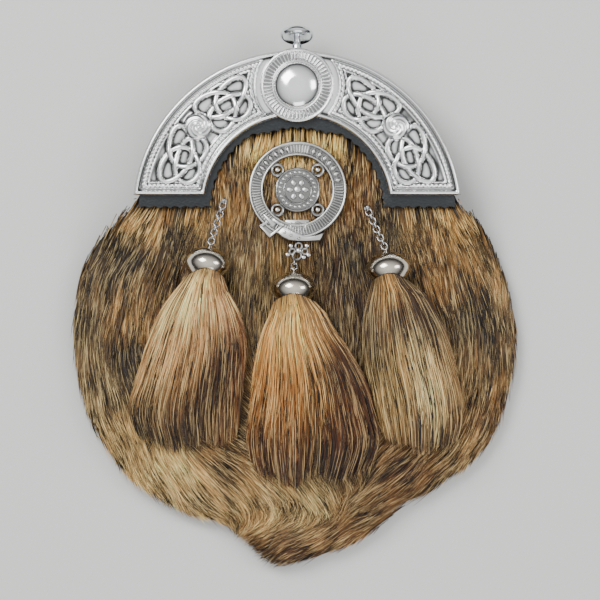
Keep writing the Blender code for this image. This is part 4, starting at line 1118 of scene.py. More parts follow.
def tassel_strands(row, settings, rng):
    """Paths, widths, tones and tilts of one tassel's hair."""
    name, bell_x, bell_y, bell_z, lean = row[:5]
    table = TASSELS[name]
    longest = table[-1][0]
    total = settings.tassel_hairs // 1
    lock_angle = rng.uniform(-0.35, math.pi + 0.35, LOCKS)
    lock_end = rng.normal(0.0, 2.6, LOCKS)
    lock = rng.integers(0, LOCKS, total)
    angle = lock_angle[lock] + rng.normal(0.0, 0.11, total)
    end_angle = lock_angle[lock] + (angle - lock_angle[lock]) * rng.uniform(0.2, 0.9, total)
    # A third of the hair runs the whole way; the rest lies over it in short lengths.
    under = rng.random(total) < WHOLE_HAIRS
    over = ~under[:, None]
    start = np.where(under, 0.0, np.maximum(rng.uniform(-0.12, 0.8, total), 0.0))
    long = np.where(under, 1.0, rng.uniform(0.2, 0.42, total))
    local = np.linspace(0.0, 1.0, settings.tassel_levels)[None, :]
    share = np.minimum(start[:, None] + long[:, None] * local, 1.0)
    spin = mix(angle[:, None], end_angle[:, None], ease(share, 0.3, 1.0))
    spin = spin + rng.normal(0.0, 0.03, total)[:, None] * local**1.5 * over
    longer = lock_end[lock] + rng.normal(0.0, 1.7, total)
    shorter = SIDES_SHORTER * np.cos(spin) ** 2 - longer[:, None]
    root = MOUTH_DOWN - MOUTH_RISE * np.maximum(np.sin(spin), 0.0) ** 2
    down = mix(root, longest - shorter * share, share)
    left, right, deep = np.moveaxis(columns_at(table, down), -1, 0)
    middle, half = (left + right) / 2, (right - left) / 2
    girth = np.where(under, rng.uniform(0.8, 0.9, total), rng.uniform(0.88, 0.97, total))[:, None]
    girth = girth + 0.05 * local**2 * over
    mouth = ease(down, 4.0, 22.0)
    top_x = bell_x - math.sin(math.radians(lean)) * down
    x = mix(top_x, middle, ease(down, 3.0, 12.0)) + half * np.cos(spin) * girth
    y = bell_y - down
    tall_at_mouth = np.where(np.sin(spin) > 0.0, MOUTH_TALL_OVER, MOUTH_TALL_UNDER)
    tall = mix(tall_at_mouth, TASSEL_TALL * deep, mouth)
    rest = fur_z(x, y) + TASSEL_CLEAR + LOCK_LIFT + 0.3 * deep
    z = mix(bell_z, rest, ease((down - MOUTH_EDGE) / (longest - MOUTH_EDGE), 0.0, 0.3))
    z = z + tall * np.sin(spin) * girth + rng.normal(0.0, 0.35, total)[:, None] * mouth
    z = z - 1.2 * ease(share, 0.8, 1.0)
    x = x + rng.normal(0.0, 0.45, total)[:, None] * ease(share, 0.2, 1.0)
    across = (np.cos(spin) + 1.0) / 2.0 + rng.normal(0.0, 0.05, total)[:, None]
    below = down / longest + rng.normal(0.0, 0.05, total)[:, None]
    streak = rng.normal(0.0, 1.0, LOCKS)[lock]
    own = rng.normal(0.0, 1.0, total)
    # Colours as they look, with painted shade on the right sides of the left and centre tassels.
    tones = contrasted(spread(TASSEL_COLOURS_AND_SHADE[name], below, across, 0.08), *TASSEL_CONTRAST)
    # The whole hairs lie under the short ones and are made a little darker: painted shade.
    bright = TASSEL_BRIGHT + 0.10 * streak + 0.34 * own - 0.12 * under
    bright = np.clip(bright, 0.35, 1.8)
    tones = tones * bright[:, None, None] * TASSEL_WARMTH
    # Dark hairs are rarer near the bell.
    lower = ease(start + 0.5 * long, 0.1, 0.45)
    dark = (0.4 * streak + own) < mix(*TASSEL_DARK_UNDER, lower)
    tones = np.where(dark[:, None, None], tones * TASSEL_DARK, tones)
    pale = (own > TASSEL_PALE_OVER)[:, None, None]
    tones = np.where(pale, mix(tones, TASSEL_PALE, TASSEL_PALE_SHARE), tones)
    # Painted shade: the short hairs are darker where they start under the hair above them.
    fall = np.interp(local, *TASSEL_SHADE_ALONG)[..., None]
    tones = tones * np.where(under[:, None, None], 1.0, fall)
    wide = settings.hair_wide / MM * rng.uniform(0.65, 1.0, total) * COARSER
    tilt = rng.uniform(-0.6, 0.6, total)
    return np.stack([x, y, z], axis=2), wide, linear(tones), tilt


def half_round(away, at, wide, high):
    """Height of a half-round bead that lies along away = at."""
    return high * np.sqrt(np.clip(1.0 - ((away - at) / (wide / 2)) ** 2, 0.0, 1.0))


def arch_heights(x, y):
    """Relief over the arch's face: its borders, woven cords and bosses."""
    out = ARCH_R - np.hypot(x, y - ARCH_CENTRE_Y)
    inn = np.hypot(x, y - INNER_CENTRE_Y) - INNER_R
    foot = y - ARCH_FOOT_Y
    edge = np.minimum(np.minimum(out, inn), foot)
    medal = np.hypot(x, y - MEDAL_Y) - MEDAL_R
    border = np.minimum(edge, medal)
    height = half_round(edge, RIM / 2, RIM, RIM_HIGH)
    run_out = np.arctan2(y - ARCH_CENTRE_Y, x) * ARCH_R
    run_in = np.arctan2(y - INNER_CENTRE_Y, x) * INNER_R
    nearest = np.argmin([out, inn, foot, medal], axis=0)
    run = np.choose(nearest, [run_out, run_in, x, np.arctan2(y - MEDAL_Y, x) * MEDAL_R])
    lean = (border - ROPE_LEAN_FROM) * ROPE_LEAN
    twist = np.abs(np.cos(np.pi * (run / ROPE_PITCH + lean)))
    rope = half_round(border, ROPE_AT, ROPE_WIDE, ROPE_HIGH) * (0.45 + 0.55 * twist)
    height = np.maximum(height, rope)
    for at, wide, high in BORDER_LINES:
        height = np.maximum(height, half_round(border, at, wide, high))
    boss_away = np.hypot(np.abs(x) - BOSS_X, y - BOSS_Y)
    field = ease(border, *FIELD_EDGE) * ease(boss_away, BOSS_R + 0.2, BOSS_R + 1.0)
    height = height - FIELD_DEEP * field
    for row in KNOTS:
        cords = cord_heights(np.abs(x), y, woven(knot_curves(row)))
        height = np.where((cords > NO_CORD) & (boss_away > BOSS_R), cords, height)
    boss = boss_height(np.abs(x) - BOSS_X, y - BOSS_Y)
    return np.where(boss_away < BOSS_R, np.maximum(height, boss), height)


def boss_height(x, y):
    """A low round boss with a swirl on it."""
    away = np.hypot(x, y)
    dome = np.clip(1.0 - (away / BOSS_R) ** 2, 0.0, 1.0)
    angle = np.arctan2(y, x)
    swirl = 0.35 * np.sin(3.0 * angle + away * 1.3) * np.cos(away * 1.8 + angle)
    return BOSS_HIGH * dome**0.6 + swirl * ease(dome, 0.05, 0.4)


def knot_curves(row):
    """The cord of one knot on the right side: four pointed loops, closed, as (x, y)."""
    t = np.linspace(0.0, math.tau, KNOT_STEPS, endpoint=False)
    x = (np.cos(t) + 2.0 * np.cos(3.0 * t)) / 3.0
    y = (np.sin(t) - 2.0 * np.sin(3.0 * t)) / 3.0
    away = np.hypot(x, y)
    x, y = x * (0.9 + 0.1 * away**6), y * (0.9 + 0.1 * away**6)
    turn = math.pi / 4
    u = (x * math.cos(turn) - y * math.sin(turn)) * math.sqrt(2.0) / 2 + 0.5
    v = (x * math.sin(turn) + y * math.cos(turn)) * math.sqrt(2.0) / 2 + 0.5
    corner = [np.array(point)[None, :] for point in row]
    u, v = u[:, None], v[:, None]
    low = corner[0] * (1 - u) + corner[1] * u
    high = corner[3] * (1 - u) + corner[2] * u
    return [low * (1 - v) + high * v]


def crossings(a, b, same):
    """Pairs of places (along a, along b) where two closed curves cross."""
    a2, b2 = np.roll(a, -1, axis=0) - a, np.roll(b, -1, axis=0) - b
    gap = b[None, :, :] - a[:, None, :]
    det = a2[:, None, 0] * b2[None, :, 1] - a2[:, None, 1] * b2[None, :, 0]
    det = np.where(np.abs(det) < 1e-12, 1e-12, det)
    s = (gap[..., 0] * b2[None, :, 1] - gap[..., 1] * b2[None, :, 0]) / det
    t = (gap[..., 0] * a2[:, None, 1] - gap[..., 1] * a2[:, None, 0]) / det
    hit = (s >= 0) & (s < 1) & (t >= 0) & (t < 1)
    found = [(i + s[i, j], j + t[i, j]) for i, j in zip(*np.nonzero(hit))]
    if same:
        count = len(a)
        found = [p for p in found if p[0] < p[1] and 2 < p[1] - p[0] < count - 2]
    return found


def woven(curves):
    """The curves with a third column, raised where a cord passes over another by turns."""
    visits = [[] for _ in curves]
    number = 0
    for i, a in enumerate(curves):
        for j in range(i, len(curves)):
            for s, t in crossings(a, curves[j], i == j):
                visits[i].append((s, number))
                visits[j].append((t, number))
                number += 1
    taken = {}
    made = []
    for points, seen in zip(curves, visits):
        seen.sort()
        known = [(k, taken[c]) for k, (_, c) in enumerate(seen) if c in taken]
        start = -known[0][1] * (-1) ** known[0][0] if known else 1
        lift = np.zeros(len(points))
        for k, (place, crossing) in enumerate(seen):
            way = start * (-1) ** k
            taken.setdefault(crossing, way)
            away = np.abs(np.arange(len(points)) - place)
            away = np.minimum(away, len(points) - away)
            step = np.linalg.norm(points[1] - points[0])
            lift += way * np.exp(-((away * step / 2.0) ** 2))
        made.append(np.column_stack([points, lift]))
    return made


def cord_heights(x, y, curves):
    """Height of the woven cords over each spot, or NO_CORD away from them."""
    height = np.full(np.shape(x), NO_CORD)
    for curve in curves:
        low, high = curve[:, :2].min(axis=0) - 2.0, curve[:, :2].max(axis=0) + 2.0
        near = (x > low[0]) & (x < high[0]) & (y > low[1]) & (y < high[1])
        px, py = x[near], y[near]
        best = np.full(px.shape, NO_CORD)
        for start, end in zip(curve, np.roll(curve, -1, axis=0)):
            dx, dy = end[0] - start[0], end[1] - start[1]
            t = ((px - start[0]) * dx + (py - start[1]) * dy) / (dx * dx + dy * dy)
            t = np.clip(t, 0.0, 1.0)
            away = np.hypot(px - start[0] - dx * t, py - start[1] - dy * t) / (CORD_WIDE / 2)
            rise = CORD_HIGH * np.sqrt(np.clip(1.0 - away**2, 0.0, 1.0))
            rise = rise - CORD_GROOVE * np.exp(-((away / 0.22) ** 2))
            lift = CORD_STEP * (start[2] + (end[2] - start[2]) * t)
            best = np.maximum(best, np.where(away < 1.12, rise + lift - 0.1, NO_CORD))
        height[near] = np.maximum(height[near], best)
    return height


class FurSettings(bpy.types.PropertyGroup):
    """Hair of the coat and the tassels."""

    hair_long: FloatProperty(
        name="Hair length", description="Length of the coat's hair", default=0.026,
        min=0.01, max=0.05, unit="LENGTH", subtype="DISTANCE",
    )
    hair_wide: FloatProperty(
        name="Hair width", description="Width of a strand at its widest", default=0.00042,
        min=0.0001, max=0.001, unit="LENGTH", subtype="DISTANCE",
    )
    clump_gap: FloatProperty(
        name="Clump gap", description="Distance between clumps of the coat", default=0.0023,
        min=0.001, max=0.01, unit="LENGTH", subtype="DISTANCE",
    )
    clump_hairs: IntProperty(
        name="Hairs in a clump", description="Strands that share one clump", default=15,
        min=4, max=40,
    )
    coat_levels: IntProperty(
        name="Coat levels", description="Points along a strand of the coat", default=4,
        min=3, max=8,
    )
    tassel_hairs: IntProperty(
        name="Tassel hairs", description="Strands of one tassel", default=12500,
        min=500, max=20000,
    )
    tassel_levels: IntProperty(
        name="Tassel levels", description="Points along a strand of a tassel", default=5,
        min=4, max=10,
    )


def colour_setting(name, description, default):
    """A colour that the sidebar shows as it looks."""
    return FloatVectorProperty(
        name=name, description=description, default=default, size=3, min=0.0, max=1.0,
        subtype="COLOR_GAMMA",
    )


class FinishSettings(bpy.types.PropertyGroup):
    """Colours of the leather and the metals."""

    pouch: colour_setting("Pouch", "Leather of the back and the front", (0.085, 0.07, 0.062))
    loops: colour_setting("Belt loops", "Leather of the belt loops", (0.10, 0.08, 0.07))
    facing: colour_setting("Facing", "Pinked leather under the arch", (0.13, 0.145, 0.155))
    thread: colour_setting("Thread", "Stitches on the back", (0.20, 0.17, 0.14))
    # The hide is dark partly as the skin and underfur's own colour, partly as painted shade in the
    # gaps between clumps.
    hide: colour_setting("Hide", "Skin under the hair", (0.20, 0.14, 0.09))
    silver: colour_setting("Arch", "Bright metal of the arch", (0.97, 0.975, 0.97))
    knob: colour_setting("Knob", "Bright metal of the knob", (0.90, 0.91, 0.92))
    pewter: colour_setting("Badge", "Grey metal of the badge", (0.80, 0.80, 0.79))
    nickel: colour_setting("Bells", "Dark polished metal of the bells", (0.82, 0.79, 0.73))
    steel: colour_setting("Chains", "Metal of the links and eyes", (0.75, 0.75, 0.75))


class StageSettings(bpy.types.PropertyGroup):
    """Camera, lights and floor."""

    lens: FloatProperty(
        name="Lens", description="Focal length of the camera", default=250.0,
        min=50.0, max=500.0, unit="CAMERA",
    )
    seen_wide: FloatProperty(
        name="Seen width", description="Width of the view at the front of the pouch",
        default=0.3, min=0.1, max=1.0, unit="LENGTH", subtype="DISTANCE",
    )
    roll: FloatProperty(
        name="Roll", description="Turn of the camera about its own axis", default=0.0,
        min=-0.2, max=0.2, unit="ROTATION", subtype="ANGLE",
    )
    key_power: FloatProperty(
        name="Key light", description="Power of the brightest light", default=9.0,
        min=0.0, max=200.0, unit="POWER",
    )


def arch_piece(metal):
    """The arch: its face in relief, its edges and the skirt round the outside."""
    along, across = ARCH_GRID
    inner_foot = math.degrees(math.asin((ARCH_FOOT_Y - INNER_CENTRE_Y) / INNER_R))
    outer_foot = math.degrees(math.asin((ARCH_FOOT_Y - ARCH_CENTRE_Y) / ARCH_R))
    u = np.linspace(0.0, 1.0, along + 1)[:, None]
    v = np.linspace(0.0, 1.0, across + 1)[None, :]
    angle_in = np.radians(mix(180.0 - inner_foot, inner_foot, u))
    angle_out = np.radians(mix(180.0 - outer_foot, outer_foot, u))
    x = mix(INNER_R * np.cos(angle_in), ARCH_R * np.cos(angle_out), v)
    y = mix(
        INNER_CENTRE_Y + INNER_R * np.sin(angle_in), ARCH_CENTRE_Y + ARCH_R * np.sin(angle_out), v
    )
    height = arch_heights(x, y)
    points = np.stack([x, y, FACE_Z + height], axis=2).reshape(-1, 3)
    index = np.arange(len(points)).reshape(along + 1, across + 1)
    top = np.stack(
        [index[:-1, :-1], index[:-1, 1:], index[1:, 1:], index[1:, :-1]], axis=2
    ).reshape(-1, 4)[:, ::-1]
    border = np.concatenate(
        [index[:-1, 0], index[-1, :-1], index[:0:-1, -1], index[0, :0:-1]]
    )
    lower = points[border].copy()
    lower[:, 2] = PLATE_Z
    first = len(points)
    around = np.arange(len(border))
    after = np.roll(around, -1)
    walls = np.stack([border[around], border[after], first + after, first + around], axis=1)
    points = np.concatenate([points, lower])
    corners = np.concatenate([top.ravel(), walls[:, ::-1].ravel(), first + around])
    sizes = np.concatenate([np.full(len(top) + len(walls), 4), [len(border)]])
    tone = np.ones(len(points))
    # Painted shade and patina: the relief is darker wherever it lies lower than round about.
    tone[:first] = np.clip(0.98 + 2.6 * (height - softened(height, 7)).ravel(), 0.02, 1.0)
    plate = mesh_from("arch", points, corners, metal, sizes=sizes, tone=tone)
    return joined([plate, arch_skirt(metal), medallion_piece(metal)])


def arch_skirt(metal):
    """The wall that hangs from the arch's outer edge."""
    foot = math.asin((ARCH_FOOT_Y - ARCH_CENTRE_Y) / ARCH_R)
    turns = np.linspace(foot, math.pi - foot, SKIRT_STEPS)
    outline = [(ARCH_R * math.cos(a), ARCH_CENTRE_Y + ARCH_R * math.sin(a)) for a in turns]
    inside = ARCH_R - SKIRT
    outline += [(inside * math.cos(a), ARCH_CENTRE_Y + inside * math.sin(a)) for a in turns[::-1]]
    bm = bmesh.new()
    slab(bm, outline, SKIRT_Z, PLATE_Z + 0.5)
    skirt = object_of("arch_skirt", bm, metal, sharp=35.0)
    set_tone(skirt.data, 1.0)
    return skirt


def softened(values, times):
    """A grid of values averaged with its neighbours."""
    for _ in range(times):
        padded = np.pad(values, 1, mode="edge")
        values = (
            padded[:-2, 1:-1] + padded[2:, 1:-1] + padded[1:-1, :-2] + padded[1:-1, 2:]
            + padded[:-2, :-2] + padded[2:, 2:] + padded[:-2, 2:] + padded[2:, :-2]
        ) / 8.0
    return values


def joined(pieces):
    """The pieces as one object, named after the first."""
    with bpy.context.temp_override(
        active_object=pieces[0], selected_editable_objects=pieces, object=pieces[0]
    ):
        bpy.ops.object.join()
    return pieces[0]


def medallion_piece(metal):
    """The roundel at the top: a rim, a ridged ring and a polished dome."""
    around, out = MEDAL_GRID
    angle = np.linspace(0.0, math.tau, around, endpoint=False)[:, None]
    away = np.linspace(0.0, 1.0, out + 1)[1:][None, :] ** 0.8 * MEDAL_R
    base = FACE_Z + MEDAL_HIGH - MEDAL_EDGE
    rim = half_round(away, MEDAL_R - MEDAL_EDGE, 2 * MEDAL_EDGE, MEDAL_EDGE_HIGH)
    lip = half_round(away, LIP_R, 2 * LIP, LIP_HIGH)
    band = ease(away, *RIDGES_FROM) * (1.0 - ease(away, *RIDGES_TO))
    ridges = 0.35 + 0.45 * np.sin(angle * RIDGES)
    dome = half_round(away, 0.0, 2 * (DOME_R + 0.1), DOME_HIGH)
    dome = np.minimum(dome * 1.12, DOME_HIGH + 0.25 * np.cos(away / DOME_R * 1.4))
    height = np.maximum(np.maximum(rim, lip), band * ridges)
    height = np.where(away < DOME_R, dome, height)
    x, y = away * np.cos(angle), MEDAL_Y + away * np.sin(angle)
    points = np.stack([x, y, base + height], axis=2).reshape(-1, 3)
    index = 1 + np.arange(around * out).reshape(around, out)
    after = np.roll(index, -1, axis=0)
    points = np.concatenate([[(0.0, MEDAL_Y, base + DOME_HIGH + 0.25)], points])
    fan = np.stack([np.zeros(around, int), index[:, 0], after[:, 0]], axis=1)
    rings = np.stack([index[:, :-1], index[:, 1:], after[:, 1:], after[:, :-1]], axis=2)
    first = len(points)
    lower = points[index[:, -1]].copy()
    lower[:, 2] = PLATE_Z
    points = np.concatenate([points, lower])
    around_low = first + np.arange(around)
    walls = np.stack(
        [index[:, -1], around_low, np.roll(around_low, -1), after[:, -1]], axis=1
    )
    corners = np.concatenate(
        [fan.ravel(), rings.reshape(-1, 4).ravel(), walls.ravel(), around_low[::-1]]
    )
    sizes = np.concatenate(
        [np.full(around, 3), np.full(rings.shape[0] * rings.shape[1] + around, 4), [around]]
    )
    tone = np.ones(len(points))
    # Painted shade and patina: rim, lip and ridges are darker low down; the dome keeps its full
    # colour.
    inside = np.clip(0.35 + 0.8 * height, 0.3, 1.0)
    tone[1:first] = np.where(away < DOME_R - 0.3, 1.0, inside).ravel()
    return mesh_from("arch_medallion", points, corners, metal, sizes=sizes, tone=tone)


def knob_piece(metal):
    """The knob on top of the arch, its stem leaning back from a round collar."""
    bm = bmesh.new()
    start = Vector((0.0, MEDAL_Y + MEDAL_R + 0.3, PLATE_Z - 1.5))
    stand = Matrix.Translation(start) @ Matrix.Rotation(-math.pi / 2, 4, "X")
    turned(bm, COLLAR_PROFILE, 32, stand)
    lean = Matrix.Rotation(math.radians(KNOB_LEAN), 4, "X")
    turned(bm, KNOB_PROFILE, 40, stand @ Matrix.Translation((0, 0, COLLAR_PROFILE[-1][0])) @ lean)
    return object_of("arch_knob", bm, metal, sharp=40.0)


def circle(x, y, radius, sides, start=0.0):
    turns = start + math.tau * np.arange(sides) / sides
    return [(x + radius * math.cos(a), y + radius * math.sin(a)) for a in turns]


def badge_piece(metal):
    """A buckled strap ring round a pierced rosette, with a small drop below."""
    seat = Matrix.Translation((BADGE_X, BADGE_Y, BADGE_Z)) @ Matrix.Rotation(
        math.radians(-BADGE_TILT), 4, "X"
    )
    bm = bmesh.new()
    badge_rosette(bm, seat)
    badge_buckle(bm, seat)
    badge_drop(bm, seat)
    trim = object_of("badge_trim", bm, metal, sharp=45.0)
    shade_and_patina_by_height(trim, seat)
    return joined([badge_strap(metal, seat), trim])


def strap_heights(away, angle):
    """Relief of the strap: a rim on each side, ribs between them and two studded stretches."""
    rim_out = half_round(away, BADGE_R - STRAP_RIM_OUT, 2 * STRAP_RIM_OUT, STRAP_RIM_HIGH)
    rim_in = half_round(away, BAND_R + STRAP_RIM_IN, 2 * STRAP_RIM_IN, STRAP_RIM_HIGH)
    band = ease(away, BAND_R + 1.3, BAND_R + 1.7) * (1 - ease(away, BADGE_R - 2.0, BADGE_R - 1.5))
    ribs = 0.30 + 0.30 * np.sin(angle * RIBS)
    turn = np.degrees(angle)
    studded = np.any([(turn > first) & (turn < last) for first, last in STUDDED], axis=0)
    stud = 1.0 - np.abs((turn / STUD_TURN) % 1.0 - 0.5) * 2.6 - np.abs(away - STUD_R) / 2.4
    studs = -0.05 + 0.85 * np.clip(stud * 2.5, 0.0, 1.0)
    field = band * np.where(studded, studs, ribs)
    return np.maximum(np.maximum(rim_out, rim_in), field) - 0.1


def badge_strap(metal, seat):
    """The strap's closed ring, its relief on top."""
    around, out = STRAP_GRID
    angle = np.linspace(0.0, math.tau, around, endpoint=False)[:, None]
    away = np.linspace(BAND_R, BADGE_R, out + 1)[None, :]
    height = strap_heights(away, angle)
    x, y = away * np.cos(angle), away * np.sin(angle)
    low = np.stack([x[:, [-1, 0]], y[:, [-1, 0]], 0 * x[:, :2]], axis=2)
    points = np.concatenate([np.stack([x, y, BADGE + height], axis=2), low], axis=1)
    per = points.shape[1]
    index = np.arange(around * per).reshape(around, per)
    after = np.roll(index, -1, axis=0)
    following = np.roll(index, -1, axis=1)
    faces = np.stack([index, following, np.roll(following, -1, axis=0), after], axis=2)
    tone = np.ones((around, per))
    # Painted shade and patina: the strap is darker low between its ribs, studs and rims.
    tone[:, : out + 1] = np.clip(0.30 + 1.0 * height, 0.22, 1.0)
    placed = np.array([tuple(seat @ Vector(point)) for point in points.reshape(-1, 3)])
    return mesh_from("badge_strap", placed, faces.reshape(-1, 4), metal, tone=tone.ravel())


def dots(bm, places, profile, sides, seat):
    """A small turned shape at each place."""
    for place in places:
        turned(bm, profile, sides, seat @ Matrix.Translation(place))


def spots_round(count, away, z, start=0.0):
    """Places evenly round a circle, the first one this share of a step on."""
    turns = [math.tau * (i + start) / count for i in range(count)]
    return [(away * math.cos(turn), away * math.sin(turn), z) for turn in turns]


def badge_rosette(bm, seat):
    """The disc with its beaded rings and petals, on four ringed arms."""
    slab(bm, circle(0, 0, DISC_R, 72), 0.2, BADGE - 0.4, matrix=seat)
    for radius, wire in DISC_RINGS:
        ring(bm, radius, wire, 72, 8, matrix=seat @ Matrix.Translation((0, 0, BADGE - 0.35)))
    dots(bm, spots_round(BEADS, BEADS_R, BADGE - 0.5, 0.5), BEAD_PROFILE, 10, seat)
    petal = [
        (PETAL_LONG * math.cos(a) * (1.0 + 0.15 * math.cos(a)) + PETAL_AT, PETAL_WIDE * math.sin(a))
        for a in np.linspace(0, math.tau, 14, endpoint=False)
    ]
    for i in range(PETALS):
        place = seat @ Matrix.Rotation(math.tau * i / PETALS, 4, "Z")
        slab(bm, petal, BADGE - 0.6, BADGE + 0.35, 0.4, 2, place)
    hub = ((-0.6, 0.0), (-0.6, 1.7), (0.4, 1.4), (0.8, 0.0))
    dots(bm, [(0, 0, BADGE)], hub, 20, seat)
    for place in spots_round(ARMS, ARM_AT, 1.3, 0.5):
        ring(bm, ARM_R, ARM_WIRE, 32, 8, matrix=seat @ Matrix.Translation(place))
    dots(bm, spots_round(ARMS, ARM_AT, 0.5, 0.5), ARM_PIN, 12, seat)


def badge_buckle(bm, seat):
    """The square buckle with its prong, the eyelet's plate and the strap's folded end."""
    middle = np.mean(BUCKLE, axis=0)
    opening = [tuple(middle + (np.array(point) - middle) * BUCKLE_OPEN) for point in BUCKLE]
    for k in range(4):
        m = (k + 1) % 4
        slab(bm, [BUCKLE[k], BUCKLE[m], opening[m], opening[k]], 0.3, 3.9, 0.35, 2, seat)
    slab(bm, opening, 0.3, 2.2, 0.0, 2, seat)
    for outline, low, high, bevel in (PRONG, PLATE, FOLD):
        slab(bm, outline, low, high, bevel, 2, seat)
    ring(bm, 1.9, 0.9, 24, 8, matrix=seat @ Matrix.Translation(EYELET_AT))
    for x in PLATE_BARS:
        bar = [(x - 0.5, -20.2), (x + 0.5, -20.2), (x + 0.4, -16.4), (x - 0.4, -16.4)]
        slab(bm, bar, 1.8, 2.9, 0.2, 2, seat)
    dots(bm, FOLD_STUDS, FOLD_STUD_PROFILE, 10, seat)


def badge_drop(bm, seat):
    """The small drop: wire rings and beads round a hub."""
    for x, y, radius in DROP_RINGS:
        at = seat @ Matrix.Translation((x, y, DROP_RING_Z))
        ring(bm, radius - 0.6, DROP_WIRE, 24, 8, matrix=at)
    dots(bm, [DROP_HUB_AT], DROP_HUB_PROFILE, 14, seat)
    dots(bm, DROP_BEADS, DROP_BEAD_PROFILE, 10, seat)


def shade_and_patina_by_height(piece, seat):
    """Bright on top and dark low down: painted shade and patina in the low parts."""
    back = seat.inverted()
    count = len(piece.data.vertices)
    co = np.empty(count * 3, np.float32)
    piece.data.vertices.foreach_get("co", co)
    co = co.reshape(-1, 3) / MM - (SHIFT_X, SHIFT_Y, 0.0)
    local = np.array([tuple(back @ Vector(p)) for p in co])
    away = np.hypot(local[:, 0], local[:, 1])
    floor = np.where((away > DISC_R + 0.4) & (away < BAND_R), 0.8, BADGE - 0.55)
    floor = np.where(local[:, 1] < -BADGE_R - 2.1, 0.6, floor)
    # Painted shade and patina: darker the lower a point lies.
    set_tone(piece.data, np.clip(0.15 + (local[:, 2] - floor) * 0.8, 0.15, 1.0))


def pinked(i, per):
    """How far the pinked edge is cut in at point i, with so many points a scallop."""
    return SCALLOP_DEEP * abs(math.sin(math.pi * i / per))


def facing_piece(leather):
    """The pinked leather seen under the arch."""
    outer = ARCH_R - 3.0
    start = math.asin((FACING_FOOT_Y - ARCH_CENTRE_Y) / outer)
    points = []
    for a in np.linspace(start, math.pi - start, 72):
        points.append((outer * math.cos(a), ARCH_CENTRE_Y + outer * math.sin(a)))
    left = points[-1][0]
    per = 6
    foot_steps = per * SCALLOPS_FOOT
    for i in range(1, foot_steps + 1):
        x = mix(left, -FACING_R, i / foot_steps)
        points.append((x, FACING_FOOT_Y - 0.6 + pinked(i, per)))
    foot = math.degrees(math.asin((FACING_FOOT_Y - INNER_CENTRE_Y) / FACING_R))
    steps = per * SCALLOPS_ROUND
    for i in range(1, steps):
        angle = mix(180.0 - foot, foot, i / steps)
        radius = float(facing_edge(angle)) + pinked(i, per)
        a = math.radians(angle)
        points.append((radius * math.cos(a), INNER_CENTRE_Y + radius * math.sin(a)))
    for i in range(foot_steps):
        x = mix(FACING_R, -left, i / foot_steps)
        points.append((x, FACING_FOOT_Y - 0.6 + pinked(i, per)))
    bm = bmesh.new()
    slab(bm, points, FACING_Z, FACING_Z + FACING, 0.3, 2)
    return object_of("facing", bm, leather, sharp=50.0)


def bell_axis(row):
    lean = math.radians(row[4])
    return Vector((math.sin(lean), math.cos(lean), 0.0))


def bell_piece(row, metal):
    """A domed cap, hollow below, with a wire loop on top."""
    name, x, y, z = row[:4]
    axis = bell_axis(row)
    seat = facing_matrix((x, y, z), axis, (0, 0, 1)) @ Matrix.Rotation(math.pi / 2, 4, "Y")
    bm = bmesh.new()
    turned(bm, BELL_PROFILE, 64, seat)
    at = Vector((x, y, z)) + axis * BELL_LOOP_AT
    ring(bm, LOOP_R, LINK_WIRE, 28, 8, matrix=facing_matrix(at, axis, (1, 0, 0)))
    return object_of(f"bell_cap_{name}", bm, metal, sharp=50.0)


def chains_piece(metal):
    """Every link of the three chains and the eyes that hold them."""
    bm = bmesh.new()
    stretch = (LINK_LONG - LINK_WIDE) / 2
    for row in BELLS:
        links = row[5]
        start = Vector(row[1:4]) + bell_axis(row) * BELL_LOOP_AT
        along = (Vector(row[6:9]) - start).normalized()
        for i in range(links):
            at = start + along * (END_PITCH + PITCH * i)
            up = (0, abs(along.z), along.y) if i % 2 == 0 else (1, 0, 0)
            turn = facing_matrix(at, along, up)
            ring(bm, (LINK_WIDE - LINK_WIRE) / 2, LINK_WIRE, 22, 8, stretch, turn)
        if row[0] == "centre":
            continue
        at = start + along * (2 * END_PITCH + PITCH * (links - 1))
        up = (0, 0, 1) if links % 2 == 0 else (1, 0, 0)
        ring(bm, LOOP_R, LINK_WIRE, 28, 8, matrix=facing_matrix(at, along, up))
        low = at.z - LOOP_R - LINK_WIRE / 2 - 0.3
        turned(bm, EYE_PROFILE, 16, Matrix.Translation((at.x, at.y, low)))
    return object_of("chain_links", bm, metal, sharp=60.0)


def polar_shell(name, low_z, high_z, reach, made, spokes=96, rings=20):
    """A closed sheet over the pouch's outline between two height functions."""
    turns = np.linspace(-180.0, 180.0, spokes, endpoint=False)[:, None]
    shares = np.linspace(0.0, 1.0, rings + 1)[1:][None, :]
    away = reach(turns) * shares
    x, y = away * np.sin(np.radians(turns)), HUB_Y - away * np.cos(np.radians(turns))
    upper = np.stack([x, y, high_z(x, y)], axis=2).reshape(-1, 3)
    lower = np.stack([x, y, low_z(x, y)], axis=2).reshape(-1, 3)
    hub = [(0.0, HUB_Y, float(surface(0.0, HUB_Y))) for surface in (high_z, low_z)]
    points = np.concatenate([upper, lower, hub])
    index = np.arange(spokes * rings).reshape(spokes, rings)
    after = np.roll(index, -1, axis=0)
    quads = np.stack([index[:, :-1], index[:, 1:], after[:, 1:], after[:, :-1]], axis=2)
    quads = quads.reshape(-1, 4)
    below = spokes * rings
    rim = [index[:, -1], below + index[:, -1], below + after[:, -1], after[:, -1]]
    top_fan = [np.full(spokes, 2 * below), index[:, 0], after[:, 0]]
    low_fan = [np.full(spokes, 2 * below + 1), below + after[:, 0], below + index[:, 0]]
    strips = [np.stack(strip, axis=1).ravel() for strip in (rim, top_fan, low_fan)]
    corners = np.concatenate([quads.ravel(), (below + quads)[:, ::-1].ravel(), *strips])
    sizes = np.concatenate([np.full(2 * len(quads) + spokes, 4), np.full(2 * spokes, 3)])
    return mesh_from(name, points, corners, made, sizes=sizes)


